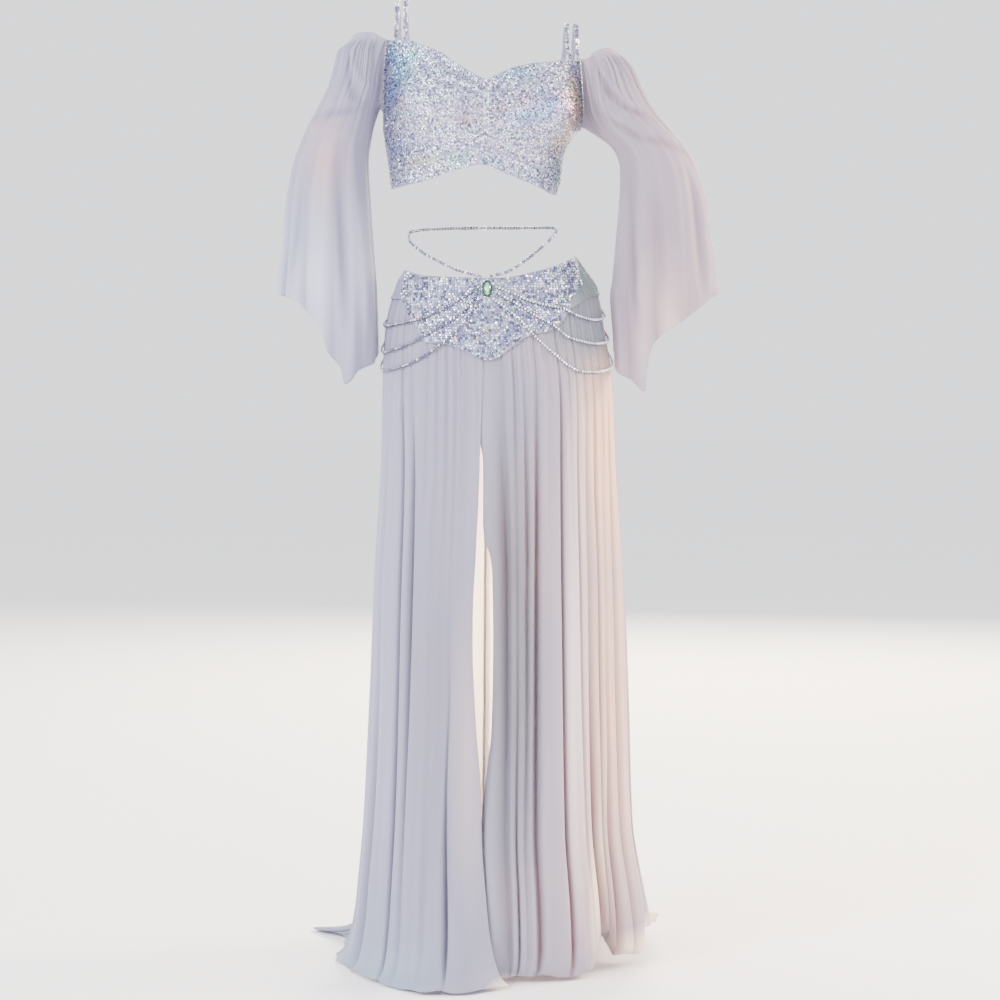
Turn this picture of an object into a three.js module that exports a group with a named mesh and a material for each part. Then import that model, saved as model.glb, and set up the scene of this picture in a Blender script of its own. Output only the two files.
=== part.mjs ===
// Belly dance costume of two pieces, worn shape with nobody in it, in millimetres.
// Z is up, the front faces -Y, and "left" is the -X side, the viewer's left.
// The origin is the middle of the skirt's waist, where the wearer carries it.

import * as THREE from 'three';

// Driving sizes

const SKIRT_CLOTH = 1.2;
const SLEEVE_CLOTH = 1.2;
const BEADED_CLOTH = 1.8;
const TAB_CLOTH = 1.2;
const SEAM_GAP = 0.6;
const LAYER_GAP = 0.5;
const CHAIN_RADIUS = 2.1;
const SWAG_GAP = 0.7;
const SWAG_STEPS = 22;
const STRING_STEPS = 16;
const STRAP_WIDTH = 8;
const STRAP_THICK = 1.6;
const STRAP_TOP = 0.3;
const EDGE_GAP = 0.35;
const FLOOR_Z = -1005;
const BAND_HEIGHT = 26;
const TUCK_UNDER_YOKE = 18;
const CREST_UNDER_YOKE = 1.2;
const MITRE_LIMIT = 0.55;
const CREST_SHARES = [0.34, 0.68];
const MEAN_SKIRT_RADIUS = 150;
const STEERING_STEP = 2.4;
const YOKE_PROUD = LAYER_GAP + BEADED_CLOTH;
const HALF_YOKE_SEAM = 0.2;
const CHAIN_SIDES = 6;

// How finely each wall is divided
const YOKE_STEPS = { front: 31, back: 11, down: 5 };
const CUP_STEPS = { across: 15, down: 9 };
const BAND_STEPS = { across: 14, down: 3 };
const WING_STEPS = { across: 14, down: 4 };
const TAB_STEPS = { across: 3, down: 6 };
const FASTENING_STEPS = { across: 4, down: 3 };
const STRAP_STEPS = 15;

const RIGHT_ANGLE = 90;
const HALF_TURN = 180;
const TURN = 360;

// Colours of the cloth and the stones

const PALE_CHIFFON = { color: 0xc9c7d1, roughness: 0.62, metalness: 0.0 };
const SEQUIN_CLOTH = { color: 0xbdbfd0, roughness: 0.34, metalness: 0.3 };
const YOKE_CLOTH = { color: 0xb6bccf, roughness: 0.3, metalness: 0.3 };
const CRYSTAL_CHAIN = { color: 0xb9bcc4, roughness: 0.25, metalness: 0.7 };
const GREEN_CRYSTAL = { color: 0xbfdcc4, roughness: 0.08, metalness: 0.0 };
const DARK_METAL = { color: 0x3f4a44, roughness: 0.35, metalness: 0.9 };

// Tables, each with named columns and one row for a section, an edge point or a fold

function table(names, rows) {
  return rows.map((row) => Object.fromEntries(names.map((name, i) => [name, row[i]])));
}

// Outside of the hips and skirt by height: how far it reaches left, right, front and back
const skirtSections = table(['z', 'left', 'right', 'front', 'back'], [
  [-1010, -195, 250, 158, 200],
  [-900, -189, 231, 152, 186],
  [-791, -181, 213, 146, 174],
  [-615, -172, 206, 139, 162],
  [-439, -165, 199, 133, 152],
  [-264, -154, 188, 127, 142],
  [-177, -152, 184, 123, 135],
  [-133, -151, 180, 120, 130],
  [-75, -147, 170, 113, 120],
  [-32, -138, 163, 104, 107],
  [-17, -130, 158, 99, 102],
  [-3, -125, 150, 94, 97],
  [11, -117, 139, 90, 92],
  [36, -112, 124, 84, 86],
]);

// Top edge of the hip yoke, and its lower edge with the point at the front
const yokeTop = table(['phi', 'z'], [
  [-180, -4], [-150, -2], [-135, 1], [-112, 8], [-90, 12], [-70, 9], [-45, 3], [0, 0], [30, 11],
  [60, 25], [90, 34], [112, 28], [135, 17], [150, 8], [180, -4],
]);
const yokeBottom = table(['phi', 'z'], [
  [-180, -38], [-120, -36], [-90, -30], [-64, -30], [-54, -48], [-46, -68], [-37, -92], [-29, -93],
  [-19, -99], [-4, -117], [8, -98], [17, -82], [28, -75], [37, -62], [43, -45], [52, -36], [62, -28],
  [90, -24], [120, -34], [180, -38],
]);

// Folds of the skirt: bearing of each furrow high up, half way and low down, and its depth there
const foldNames = ['high', 'middle', 'low', 'highDeep', 'middleDeep', 'lowDeep'];
const leftFolds = table(foldNames, [
  [-90, -88, -86, 2.2, 5, 9],
  [-81, -79, -78, 2, 4, 6],
  [-72, -70, -69, 2, 5, 10],
  [-64, -62, -60, 2, 3, 7],
  [-56, -52, -51, 2.4, 9, 12],
  [-48, -44.5, -44, 2, 10, 9],
  [-38, -38, -38, 2, 2, 5],
  [-31.5, -32, -33, 2.4, 3, 7],
  [-26.4, -26.6, -28.6, 2.4, 3, 4],
  [-21, -22.4, -22.6, 2.4, 3, 10],
  [-16.5, -17, -15.4, 2.4, 3, 6],
]);
const rightFolds = table(foldNames, [
  [2.5, 4, 3.5, 2.6, 5, 5],
  [8.4, 8.6, 7.6, 3.4, 7, 8],
  [13.4, 12.6, 11.4, 2.6, 4, 5],
  [20, 17.4, 16.2, 3.4, 9, 11],
  [26, 22.6, 21.4, 2.6, 4, 6],
  [33, 30.4, 29.4, 3.2, 10, 13],
  [38.4, 36, 34.6, 2.6, 4, 6],
  [43.6, 40.4, 39.4, 2.4, 4, 6],
  [50, 45.6, 44.4, 3, 9, 12],
  [57, 51.6, 49.4, 2.6, 4, 6],
  [66, 58.4, 55.4, 3, 8, 10],
  [74, 67, 64, 2.6, 5, 9],
]);
const BACK_FOLDS = 24;
const BACK_FOLD_DEPTH = { high: 2.4, middle: 5.5, low: 9 };
const BACK_FOLD_UNEVEN = 0.35;
const FOLD_LEVELS = { high: 0.08, middle: 0.42, low: 0.88 };

// The seams, and the free edges of the slit, as bearings by the share of the way down
const LEFT_SEAM = -97;
const RIGHT_SEAM = 83;
const slitLeftEdge = table(['share', 'phi', 'inset'], [
  [0, -6.4, 0], [0.2, -8.4, 0], [0.33, -9.4, 0], [0.46, -11.4, 0], [0.6, -9.4, 0], [0.69, -7.6, 0],
  [0.8, -6.6, 0], [1, -5.2, 0],
]);
const slitRightEdge = table(['share', 'phi', 'inset'], [
  [0, -6, 0], [0.2, -7.8, 0], [0.29, -7, 0], [0.33, -5.4, 1], [0.36, -3.2, 2], [0.46, -2.8, 3],
  [0.6, -3.4, 6], [0.69, -6.2, 9], [0.8, -9, 11], [1, -11, 12],
]);

// Rows of the skirt: share of the way down, height dropped and how far the hem has spread
const skirtRows = table(['share', 'drop', 'spread'], [
  [0, 0, 0], [0.08, 0.08, 0], [0.2, 0.2, 0], [0.33, 0.33, 0], [0.46, 0.46, 0], [0.6, 0.6, 0],
  [0.74, 0.74, 0], [0.88, 0.9, 0.08], [0.92, 0.95, 0.25], [0.96, 0.983, 0.56], [1, 1, 1],
]);

// The hem seen from above: where it lies for each bearing, and how high above the floor
const hemOuter = table(['phi', 'x', 'y', 'lift'], [
  [-290, 212, 4, 20], [-277, 226, 24, 38], [-265, 240, 62, 44], [-255, 250, 104, 42],
  [-245, 258, 150, 40], [-235, 260, 200, 34], [-224, 236, 250, 24], [-210, 150, 284, 6], [-180, 10, 300, 3], [-150, -130, 288, 3],
  [-127, -268, 252, 3], [-108, -214, 168, 3], [-97, -214, 110, 3], [-88, -226, 54, 3],
  [-65, -194, -78, 3], [-45, -140, -162, 3], [-25, -74, -217, 3], [-14, -32, -217, 3],
  [-5, 32, -170, 3], [2, 70, -140, 3],
]);
const hemRight = table(['phi', 'x', 'y', 'lift'], [
  [-14, -20, -122, 8], [0, 20, -118, 10], [12, 52, -106, 16], [26, 98, -94, 14], [37, 142, -70, 16],
  [46, 158, 0, 46], [56, 176, -6, 20], [70, 212, 4, 20], [83, 226, 24, 38], [95, 240, 62, 44],
]);

// Bust and ribs by height, and the edges of the beaded top
const bustSections = table(['z', 'left', 'right', 'front', 'back'], [
  [110, -137, 98, 84, 78],
  [125, -138, 101, 84, 78],
  [141, -139, 106, 85, 79],
  [170, -143, 109, 88, 80],
  [200, -147, 121, 90, 84],
  [213, -149, 134, 90, 86],
  [240, -149, 137, 90, 88],
  [300, -149, 136, 82, 88],
  [345, -148, 134, 70, 88],
]);
const bustTop = table(['phi', 'z'], [
  [-180, 212], [-142, 214], [-120, 219], [-100, 232], [-86, 255], [-80, 305], [-75, 337], [-71, 340],
  [-47, 338], [-37, 331], [-25, 321], [-16, 306.5], [-6, 290.5], [2.5, 281], [8.5, 288], [17, 297],
  [29, 304], [42, 307], [54, 311], [60, 313], [79, 313], [84, 282], [90, 238], [94, 218], [110, 216],
  [142, 214], [180, 212],
]);
const bustBottom = table(['phi', 'z'], [
  [-180, 172], [-150, 163], [-125, 146], [-105, 132], [-86, 127], [-72, 128], [-40, 136], [-18, 149],
  [3, 160], [25, 144], [50, 129], [74, 119], [94, 120], [112, 127], [130, 142], [150, 160],
  [180, 172],
]);
const cups = table(['phi', 'z', 'height', 'wide', 'tall'], [
  [-31, 248, 24, 25, 44],
  [40, 242, 24, 25, 44],
]);
const FRONT_MIDDLE = 2.5;
const LEFT_SIDE = -86;
const RIGHT_SIDE = 94;
const BACK_OPENING = 3;

// Sleeves: reach of the outer and inner side by height, half the depth, and the two edges.
// Bearing 0 is the outer side, 90 the front and 180 the side next to the body. The armhole gives
// the bearing on the bust that each bearing of the sleeve is sewn to.
const leftSleeve = {
  side: -1,
  backward: 4,
  turn: 3,
  armhole: table(['phi', 'bust'], [[138, -68], [150, -75], [165, -80], [180, -86], [198, -92], [214, -99]]),
  sections: table(['z', 'outer', 'inner', 'deep'], [
    [-160, 304, 156, 76], [-94, 304, 156, 74], [-18, 303, 158, 70], [55, 296, 164, 64],
    [112, 290, 168, 60], [170, 278, 171, 58], [213, 261, 166, 57], [255, 239, 156, 55],
    [283, 226, 153, 53], [310, 218, 152, 50], [325, 214, 152, 48], [341, 198, 151, 46],
  ]),
  top: table(['phi', 'z'], [
    [0, 335], [30, 343], [60, 349], [90, 350], [120, 350], [138, 347], [150, 340], [165, 302],
    [180, 257], [200, 262], [230, 290], [270, 325], [315, 334], [360, 335],
  ]),
  hem: table(['phi', 'z'], [
    [0, -22], [30, -26], [54, -33], [64, -46], [85, -72], [91, -104], [107, -129], [111, -152],
    [130, -133], [155, -123], [180, -114], [210, -84], [270, -50], [330, -28], [360, -22],
  ]),
};
const rightSleeve = {
  side: 1,
  backward: 4,
  turn: 7,
  armhole: table(['phi', 'bust'], [[138, 74], [150, 80], [165, 87], [180, 94], [198, 101], [214, 107]]),
  sections: table(['z', 'outer', 'inner', 'deep'], [
    [-170, 338, 183.4, 76], [-92, 338, 181.4, 76], [-25, 338, 177, 74], [-4, 335, 180, 72],
    [54, 326, 186, 68], [112, 318, 191, 62], [155, 305, 193, 60], [184, 290, 186, 58],
    [213, 267, 156, 56], [241, 243, 143, 54], [270, 225, 140, 52], [300, 210, 140, 50],
    [327, 186, 138, 46],
  ]),
  top: table(['phi', 'z'], [
    [0, 326], [30, 328], [60, 328], [90, 326], [120, 321], [138, 314], [150, 310], [165, 262],
    [180, 219], [200, 226], [230, 262], [270, 308], [315, 325], [360, 328],
  ]),
  hem: table(['phi', 'z'], [
    [0, -18], [30, -28], [55, -44], [71, -59], [89, -74], [100, -84], [107, -95], [112, -115],
    [116, -162], [134, -148], [167, -131], [180, -112], [210, -88], [270, -56], [330, -28], [360, -18],
  ]),
};
const SLEEVE_FOLDS = 10;
const sleeveFold = table(['share', 'furrow'], [[0, false], [0.36, false], [0.68, true]]);
const ARMHOLE_LAP = 1.5;
const ARMHOLE_EASE = { share: 0.13, power: 1.6 };
const sleeveFoldDepth = table(['share', 'deep'], [
  [0, 1.2], [0.05, 2.2], [0.2, 2.4], [0.42, 1.2], [0.7, 3], [1, 6],
]);
const sleeveRows = [0, 0.05, 0.14, 0.25, 0.37, 0.5, 0.66, 0.83, 1];

// Chains of stones from the brooch round the hips, and the two strings round the waist
const swags = {
  left_1: table(['phi', 'z'], [
    [-9.6, -12], [-14, -21], [-21, -33], [-31, -48], [-44, -59], [-57, -64], [-80, -69], [-102, -60],
    [-122, -14],
  ]),
  left_2: table(['phi', 'z'], [
    [-9.6, -20], [-14, -38], [-21, -57], [-30, -71], [-42, -86], [-58, -100], [-80, -107],
    [-104, -90], [-126, -22],
  ]),
  left_3: table(['phi', 'z'], [
    [-8.6, -30], [-13, -53], [-21, -78], [-29, -95], [-38, -110], [-54, -126], [-78, -133],
    [-105, -114], [-130, -30],
  ]),
  right_1: table(['phi', 'z'], [
    [-1, -12], [10, -23], [19, -33], [27, -38], [37, -43], [49, -54], [64, -60], [84, -57],
    [104, -44], [120, -10],
  ]),
  right_2: table(['phi', 'z'], [
    [-1, -19], [12, -38], [21, -53], [28, -63], [34, -73], [40, -84], [49, -90], [62, -94],
    [84, -91], [106, -70], [124, -18],
  ]),
  right_3: table(['phi', 'z'], [
    [-2, -28], [5, -42], [13, -60], [21, -85], [30, -108], [38, -125], [46, -133], [60, -134],
    [82, -126], [106, -98], [128, -26],
  ]),
};
const waistString = {
  left: table(['x', 'y', 'z'], [
    [-8, -96.4, 2.3], [-38, -91, 9.6], [-67, -80, 22.2], [-95, -56, 38.2], [-112, -22, 54.6], [-113, 20, 65],
    [-92, 58, 70], [-56, 80, 72], [-14, 87, 73], [-13, 87, 73],
  ]),
  right: table(['x', 'y', 'z'], [
    [4, -96.4, 2.3], [26, -92, 7.5], [47, -86, 19], [68, -74, 35], [88, -52, 52.5], [100, -16, 67],
    [96, 26, 72], [74, 60, 73], [40, 80, 73], [1, 87, 73], [0, 87, 73],
  ]),
};

// Shoulder straps: the bearings on the top's edge where each starts in front and ends behind,
// and the places that its middle line passes over the shoulder
const straps = {
  left_outer: {
    front: -61,
    back: -140.5,
    over: table(['x', 'y', 'z'], [
      [-129, -40, 352], [-128.5, -26, 380], [-128.5, 0, 396], [-128.5, 25, 389], [-128, 50, 360],
      [-124, 68, 315], [-112, 76, 262],
    ]),
  },
  left_inner: {
    front: -50.5,
    back: -148,
    over: table(['x', 'y', 'z'], [
      [-116, -47, 352], [-116, -31, 381], [-116, 0, 397], [-117, 27, 390], [-117, 54, 360],
      [-109, 74, 315], [-98, 81, 262],
    ]),
  },
  right_inner: {
    front: 61.5,
    back: 148.5,
    over: table(['x', 'y', 'z'], [
      [114.5, -36, 330], [114.5, -23, 353], [114.5, 0, 364], [114, 25, 358], [113, 50, 332],
      [104, 72, 290], [86, 82, 250],
    ]),
  },
  right_outer: {
    front: 74.5,
    back: 140.5,
    over: table(['x', 'y', 'z'], [
      [128.5, -22, 330], [128.5, -15, 352], [128, 0, 363], [127, 22, 357], [126, 46, 332],
      [115, 68, 290], [98, 77, 250],
    ]),
  },
};

// Brooch at the middle of the yoke's top
const BROOCH = { phi: -5.4, z: -16, halfWide: 6, halfTall: 10.4, deep: 6, seat: 1.2, sides: 16 };
const stoneProfile = table(['across', 'up'], [
  [0, 0], [0.86, 0], [1, 0.3], [0.72, 0.86], [0.4, 1], [0, 1],
]);
const rimProfile = table(['across', 'up'], [[1.06, 0], [1.25, 0], [1.25, 0.36], [1.06, 0.36], [1.06, 0]]);

// Clasp that joins the two strings behind
const CLASP = { x: -6.5, y: 87, z: 73, radius: 3, length: 12.2, sides: 10 };

// Gathered tab between the cups, and the fastening at the middle of the back
const TAB = { from: -0.3, to: 5.3, top: 280, bottom: 190 };
const FASTENING = { halfWide: 6, top: 207, bottom: 177 };

// Extra columns of the cups where their upper edges turn down to the armholes
const leftCornerColumns = [-83, -80, -77, -73, -67];
const rightCornerColumns = [74, 78, 81, 84, 87, 90];
const CUP_INNER_LEFT = -61;
const CUP_INNER_RIGHT = 69;
const HALF_SEAM = 0.2;
const HALF_SEAM_RIGHT = 0.4;

// Shared helpers

function degrees(angle) {
  return angle * Math.PI / 180;
}

function mix(a, b, share) {
  return a + (b - a) * share;
}

// The value of a column where the first column has a given value, on a smooth curve by the rows
function read(rows, name, at) {
  const key = Object.keys(rows[0])[0];
  const last = rows.length - 1;
  if (at <= rows[0][key]) return rows[0][name];
  if (at >= rows[last][key]) return rows[last][name];
  let i = 0;
  while (rows[i + 1][key] < at) i += 1;
  const step = rows[i + 1][key] - rows[i][key];
  const t = (at - rows[i][key]) / step;
  const rise = (k) => (rows[k + 1][name] - rows[k][name]) / (rows[k + 1][key] - rows[k][key]);
  const slope = (k) => {
    if (k === 0 || k === last) return rise(Math.min(k, last - 1));
    const before = rise(k - 1);
    const after = rise(k);
    return before * after <= 0 ? 0 : 2 * before * after / (before + after);
  };
  const a = rows[i][name];
  const b = rows[i + 1][name];
  const tt = t * t;
  const ttt = tt * t;
  return a * (2 * ttt - 3 * tt + 1) + b * (3 * tt - 2 * ttt)
    + step * (slope(i) * (ttt - 2 * tt + t) + slope(i + 1) * (ttt - tt));
}

// A point on a section, at a bearing from the front, moved out by a distance
function onSection(sections, phi, z, proud = 0) {
  const left = read(sections, 'left', z);
  const right = read(sections, 'right', z);
  const angle = degrees(phi);
  const deep = Math.cos(angle) >= 0 ? read(sections, 'front', z) : read(sections, 'back', z);
  const x = (left + right) / 2 + ((right - left) / 2 + proud) * Math.sin(angle);
  return new THREE.Vector3(x, -(deep + proud) * Math.cos(angle), z);
}

// The inner face of a wall: each outer point moved in, square to the cloth, mitred at the folds.
// The grid has one spare column at each side, beyond the wall's own edges.
function innerFace(grid, thick, handed) {
  const face = (edge, down) => new THREE.Vector3().crossVectors(down, edge).normalize();
  return grid.map((row, i) => row.slice(1, -1).map((point, k) => {
    const j = k + 1;
    const above = grid[Math.max(i - 1, 0)][j];
    const below = grid[Math.min(i + 1, grid.length - 1)][j];
    const down = below.clone().sub(above);
    const before = face(point.clone().sub(row[j - 1]), down);
    const after = face(row[j + 1].clone().sub(point), down);
    const out = before.clone().add(after).normalize();
    const move = handed * thick / Math.max(out.dot(before), MITRE_LIMIT);
    return point.clone().addScaledVector(out, -move);
  }));
}

// A closed wall from an outer and an inner grid of points of the same size
function shell(outer, inner, closed) {
  const rows = outer.length;
  const columns = outer[0].length;
  const positions = [];
  for (const grid of [outer, inner]) {
    for (const row of grid) {
      for (const point of row) positions.push(point.x, point.y, point.z);
    }
  }
  const index = [];
  const at = (side, i, j) => side * rows * columns + i * columns + (j % columns);
  const quad = (a, b, c, d) => index.push(a, b, c, a, c, d);
  const spans = closed ? columns : columns - 1;
  for (let j = 0; j < spans; j += 1) {
    for (let i = 0; i < rows - 1; i += 1) {
      quad(at(0, i, j), at(0, i + 1, j), at(0, i + 1, j + 1), at(0, i, j + 1));
      quad(at(1, i, j + 1), at(1, i + 1, j + 1), at(1, i + 1, j), at(1, i, j));
    }
    quad(at(1, 0, j), at(0, 0, j), at(0, 0, j + 1), at(1, 0, j + 1));
    quad(at(0, rows - 1, j), at(1, rows - 1, j), at(1, rows - 1, j + 1), at(0, rows - 1, j + 1));
  }
  if (!closed) {
    for (let i = 0; i < rows - 1; i += 1) {
      quad(at(0, i, 0), at(1, i, 0), at(1, i + 1, 0), at(0, i + 1, 0));
      quad(at(1, i, spans), at(0, i, spans), at(0, i + 1, spans), at(1, i + 1, spans));
    }
  }
  const geometry = new THREE.BufferGeometry();
  geometry.setAttribute('position', new THREE.Float32BufferAttribute(positions, 3));
  geometry.setIndex(index);
  if (volume(geometry) < 0) geometry.setIndex(index.reverse());
  geometry.computeVertexNormals();
  return geometry;
}

function volume(geometry) {
  const corner = [0, 1, 2].map(() => new THREE.Vector3());
  const position = geometry.attributes.position;
  const index = geometry.index;
  let sum = 0;
  for (let i = 0; i < index.count; i += 3) {
    corner.forEach((point, k) => point.fromBufferAttribute(position, index.getX(i + k)));
    sum += corner[0].dot(corner[1].cross(corner[2]));
  }
  return sum / 6;
}

// A wall of cloth from a function of column and row; the spare columns only steer its edges
function clothWall(columns, rows, pointAt, thick, handed = 1) {
  const grid = rows.map((row) => columns.map((column) => pointAt(column, row)));
  const outer = grid.map((row) => row.slice(1, -1));
  return shell(outer, innerFace(grid, thick, handed), false);
}

// A sleeve or ring: the columns run all the way round
function clothTube(columns, rows, pointAt, thick, handed = 1) {
  const grid = rows.map((row) => columns.map((column) => pointAt(column, row)));
  const wrapped = grid.map((row) => [row[row.length - 1], ...row, row[0]]);
  return shell(grid, innerFace(wrapped, thick, handed), true);
}

// A number of values spread evenly from one to another
function evenly(from, to, count) {
  return Array.from({ length: count }, (_, i) => mix(from, to, i / (count - 1)));
}

// A row of columns with one spare beyond each end
function withSpares(columns) {
  const last = columns.length - 1;
  const before = 2 * columns[0] - columns[1];
  const after = 2 * columns[last] - columns[last - 1];
  return [before, ...columns, after];
}

// A chain of stones as a plain rod along a smooth path
function chain(points, steps) {
  const ring = Array.from({ length: CHAIN_SIDES }, (_, i) => {
    const angle = degrees(TURN * i / CHAIN_SIDES);
    return new THREE.Vector2(CHAIN_RADIUS * Math.cos(angle), CHAIN_RADIUS * Math.sin(angle));
  });
  const path = new THREE.CatmullRomCurve3(points);
  return new THREE.ExtrudeGeometry(new THREE.Shape(ring), { steps, extrudePath: path });
}

const costume = new THREE.Group();

function add(name, geometry, look) {
  const mesh = new THREE.Mesh(geometry, new THREE.MeshStandardMaterial(look));
  mesh.name = name;
  costume.add(mesh);
  return mesh;
}

// Skirt

// One column of the skirt's cloth: its bearing and its depth below the crests, by share down
function foldColumn(fold) {
  return table(['share', 'phi', 'inset'], [
    [FOLD_LEVELS.high, fold.high, fold.highDeep],
    [FOLD_LEVELS.middle, fold.middle, fold.middleDeep],
    [FOLD_LEVELS.low, fold.low, fold.lowDeep],
  ]);
}

// The crests between two columns: the cloth stands out to the full section there, but for the
// gathered top, which lies a little inside so that the yoke fits over it
function crestColumn(a, b, share) {
  const shares = Object.values(FOLD_LEVELS);
  return table(['share', 'phi', 'inset'], shares.map((level) => [
    level,
    mix(read(a, 'phi', level), read(b, 'phi', level), share),
    level === FOLD_LEVELS.high ? CREST_UNDER_YOKE : 0,
  ]));
}

// An edge shifted sideways by a distance along the cloth
function shiftedEdge(edge, distance) {
  const shift = distance * HALF_TURN / (Math.PI * MEAN_SKIRT_RADIUS);
  return edge.map((row) => ({ ...row, phi: row.phi + shift }));
}

function straightEdge(phi, inset) {
  return table(['share', 'phi', 'inset'], [[0, phi, inset], [1, phi, inset]]);
}

// The columns of a panel, from one edge to the other, with two crests between furrows
function panelColumns(first, folds, last) {
  const furrows = [first, ...folds.map(foldColumn), last];
  const columns = [];
  for (let k = 0; k < furrows.length - 1; k += 1) {
    columns.push(furrows[k]);
    for (const share of CREST_SHARES) columns.push(crestColumn(furrows[k], furrows[k + 1], share));
  }
  columns.push(last);
  return columns;
}

// A point of the skirt's outer face on a column and a row, for a panel with its own hem
function skirtPoint(column, row, hem) {
  const phi = read(column, 'phi', row.share);
  const inset = read(column, 'inset', row.share);
  const around = phi < -HALF_TURN ? phi + TURN : phi;
  const top = read(yokeBottom, 'z', around) + TUCK_UNDER_YOKE;
  const hemZ = FLOOR_Z + read(hem, 'lift', phi);
  const hang = onSection(skirtSections, phi, mix(top, hemZ, row.drop), -inset);
  const spread = new THREE.Vector3(
    read(hem, 'x', phi) - inset * Math.sin(degrees(phi)),
    read(hem, 'y', phi) + inset * Math.cos(degrees(phi)),
    hang.z,
  );
  return hang.lerp(spread, row.spread);
}

function skirtPanel(name, first, folds, last, hem) {
  const own = panelColumns(first, folds, last);
  const columns = [shiftedEdge(first, -STEERING_STEP), ...own, shiftedEdge(last, STEERING_STEP)];
  const pointAt = (column, row) => skirtPoint(column, row, hem);
  add(name, clothWall(columns, skirtRows, pointAt, SKIRT_CLOTH), PALE_CHIFFON);
}

// Furrows across the back, spread evenly and then made a little uneven
function backFolds() {
  const from = RIGHT_SEAM - TURN;
  return Array.from({ length: BACK_FOLDS }, (_, i) => {
    const k = i + 1;
    const share = k / (BACK_FOLDS + 1);
    const sway = BACK_FOLD_UNEVEN * Math.sin(k * 2.4) / (BACK_FOLDS + 1);
    const phi = mix(from, LEFT_SEAM, share + sway);
    const deep = 1 + BACK_FOLD_UNEVEN * Math.sin(k * 4.1);
    return {
      high: phi, middle: phi, low: phi,
      highDeep: BACK_FOLD_DEPTH.high * deep,
      middleDeep: BACK_FOLD_DEPTH.middle * deep,
      lowDeep: BACK_FOLD_DEPTH.low * deep,
    };
  });
}

skirtPanel(
  'skirt_front_left',
  shiftedEdge(straightEdge(LEFT_SEAM, 2), SEAM_GAP / 2),
  leftFolds,
  slitLeftEdge,
  hemOuter,
);
skirtPanel(
  'skirt_front_right',
  shiftedEdge(slitRightEdge, SEAM_GAP),
  rightFolds,
  shiftedEdge(straightEdge(RIGHT_SEAM, 2), -SEAM_GAP / 2),
  hemRight,
);
skirtPanel(
  'skirt_back',
  shiftedEdge(straightEdge(RIGHT_SEAM - TURN, 2), SEAM_GAP / 2),
  backFolds(),
  shiftedEdge(straightEdge(LEFT_SEAM, 2), -SEAM_GAP / 2),
  hemOuter,
);

// Yoke, beaded, lying over the skirt's gathered top

function yokePanel(name, columns) {
  const rows = evenly(0, 1, YOKE_STEPS.down);
  const pointAt = (phi, share) => {
    const z = mix(read(yokeTop, 'z', phi), read(yokeBottom, 'z', phi), share);
    return onSection(skirtSections, phi, z, YOKE_PROUD);
  };
  add(name, clothWall(withSpares(columns), rows, pointAt, BEADED_CLOTH), YOKE_CLOTH);
}

function yokeColumns(from, to, count) {
  return evenly(from + HALF_YOKE_SEAM, to - HALF_YOKE_SEAM, count);
}

yokePanel('yoke_front', yokeColumns(-RIGHT_ANGLE, RIGHT_ANGLE, YOKE_STEPS.front));
yokePanel('yoke_back_left', yokeColumns(-HALF_TURN, -RIGHT_ANGLE, YOKE_STEPS.back));
yokePanel('yoke_back_right', yokeColumns(RIGHT_ANGLE, HALF_TURN, YOKE_STEPS.back));

// Brooch: an oval stone in a dark rim

function onYoke(phi, z, proud) {
  return onSection(skirtSections, phi, z, YOKE_PROUD + proud);
}

// A turned oval piece that stands on the yoke, square to it
function broochPiece(name, profile, look) {
  const above = onYoke(BROOCH.phi, BROOCH.z + BROOCH.halfTall, 0);
  const below = onYoke(BROOCH.phi, BROOCH.z - BROOCH.halfTall, 0);
  const along = above.sub(below).normalize();
  const out = new THREE.Vector3().crossVectors(new THREE.Vector3(1, 0, 0), along).normalize();
  const side = new THREE.Vector3().crossVectors(out, along).normalize();
  const points = profile.map((row) => new THREE.Vector2(row.across, row.up));
  const geometry = new THREE.LatheGeometry(points, BROOCH.sides);
  geometry.scale(BROOCH.halfWide, BROOCH.deep, BROOCH.halfTall);
  const mesh = add(name, geometry, look);
  mesh.quaternion.setFromRotationMatrix(new THREE.Matrix4().makeBasis(side, out, along));
  mesh.position.copy(onYoke(BROOCH.phi, BROOCH.z, 0)).addScaledVector(out, BROOCH.seat);
}

broochPiece('gem', stoneProfile, GREEN_CRYSTAL);
broochPiece('gem_rim', rimProfile, DARK_METAL);

// Chains of stones over the hips, and the strings round the bare waist

for (const [name, rows] of Object.entries(swags)) {
  const numbered = rows.map((row, order) => ({ order, ...row }));
  const points = evenly(0, rows.length - 1, SWAG_STEPS).map((order) => (
    onYoke(read(numbered, 'phi', order), read(numbered, 'z', order), SWAG_GAP + CHAIN_RADIUS)
  ));
  add(`swag_${name}`, chain(points, SWAG_STEPS), CRYSTAL_CHAIN);
}
for (const [name, rows] of Object.entries(waistString)) {
  const points = rows.map((row) => new THREE.Vector3(row.x, row.y, row.z));
  add(`waist_string_${name}`, chain(points, STRING_STEPS), CRYSTAL_CHAIN);
}

const clasp = new THREE.CylinderGeometry(CLASP.radius, CLASP.radius, CLASP.length, CLASP.sides);
const claspMesh = add('waist_string_clasp', clasp, CRYSTAL_CHAIN);
claspMesh.rotation.z = Math.PI / 2;
claspMesh.position.set(CLASP.x, CLASP.y, CLASP.z);

// Beaded top: two cups, a band below them, wings round the back and a gathered middle tab

function bustPoint(phi, z, proud) {
  const point = onSection(bustSections, phi, z, proud);
  const out = new THREE.Vector3(Math.sin(degrees(phi)), -Math.cos(degrees(phi)), 0);
  for (const cup of cups) {
    const across = (phi - cup.phi) / cup.wide;
    const up = (z - cup.z) / cup.tall;
    point.addScaledVector(out, cup.height * Math.exp(-across * across - up * up));
  }
  return point;
}

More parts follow.
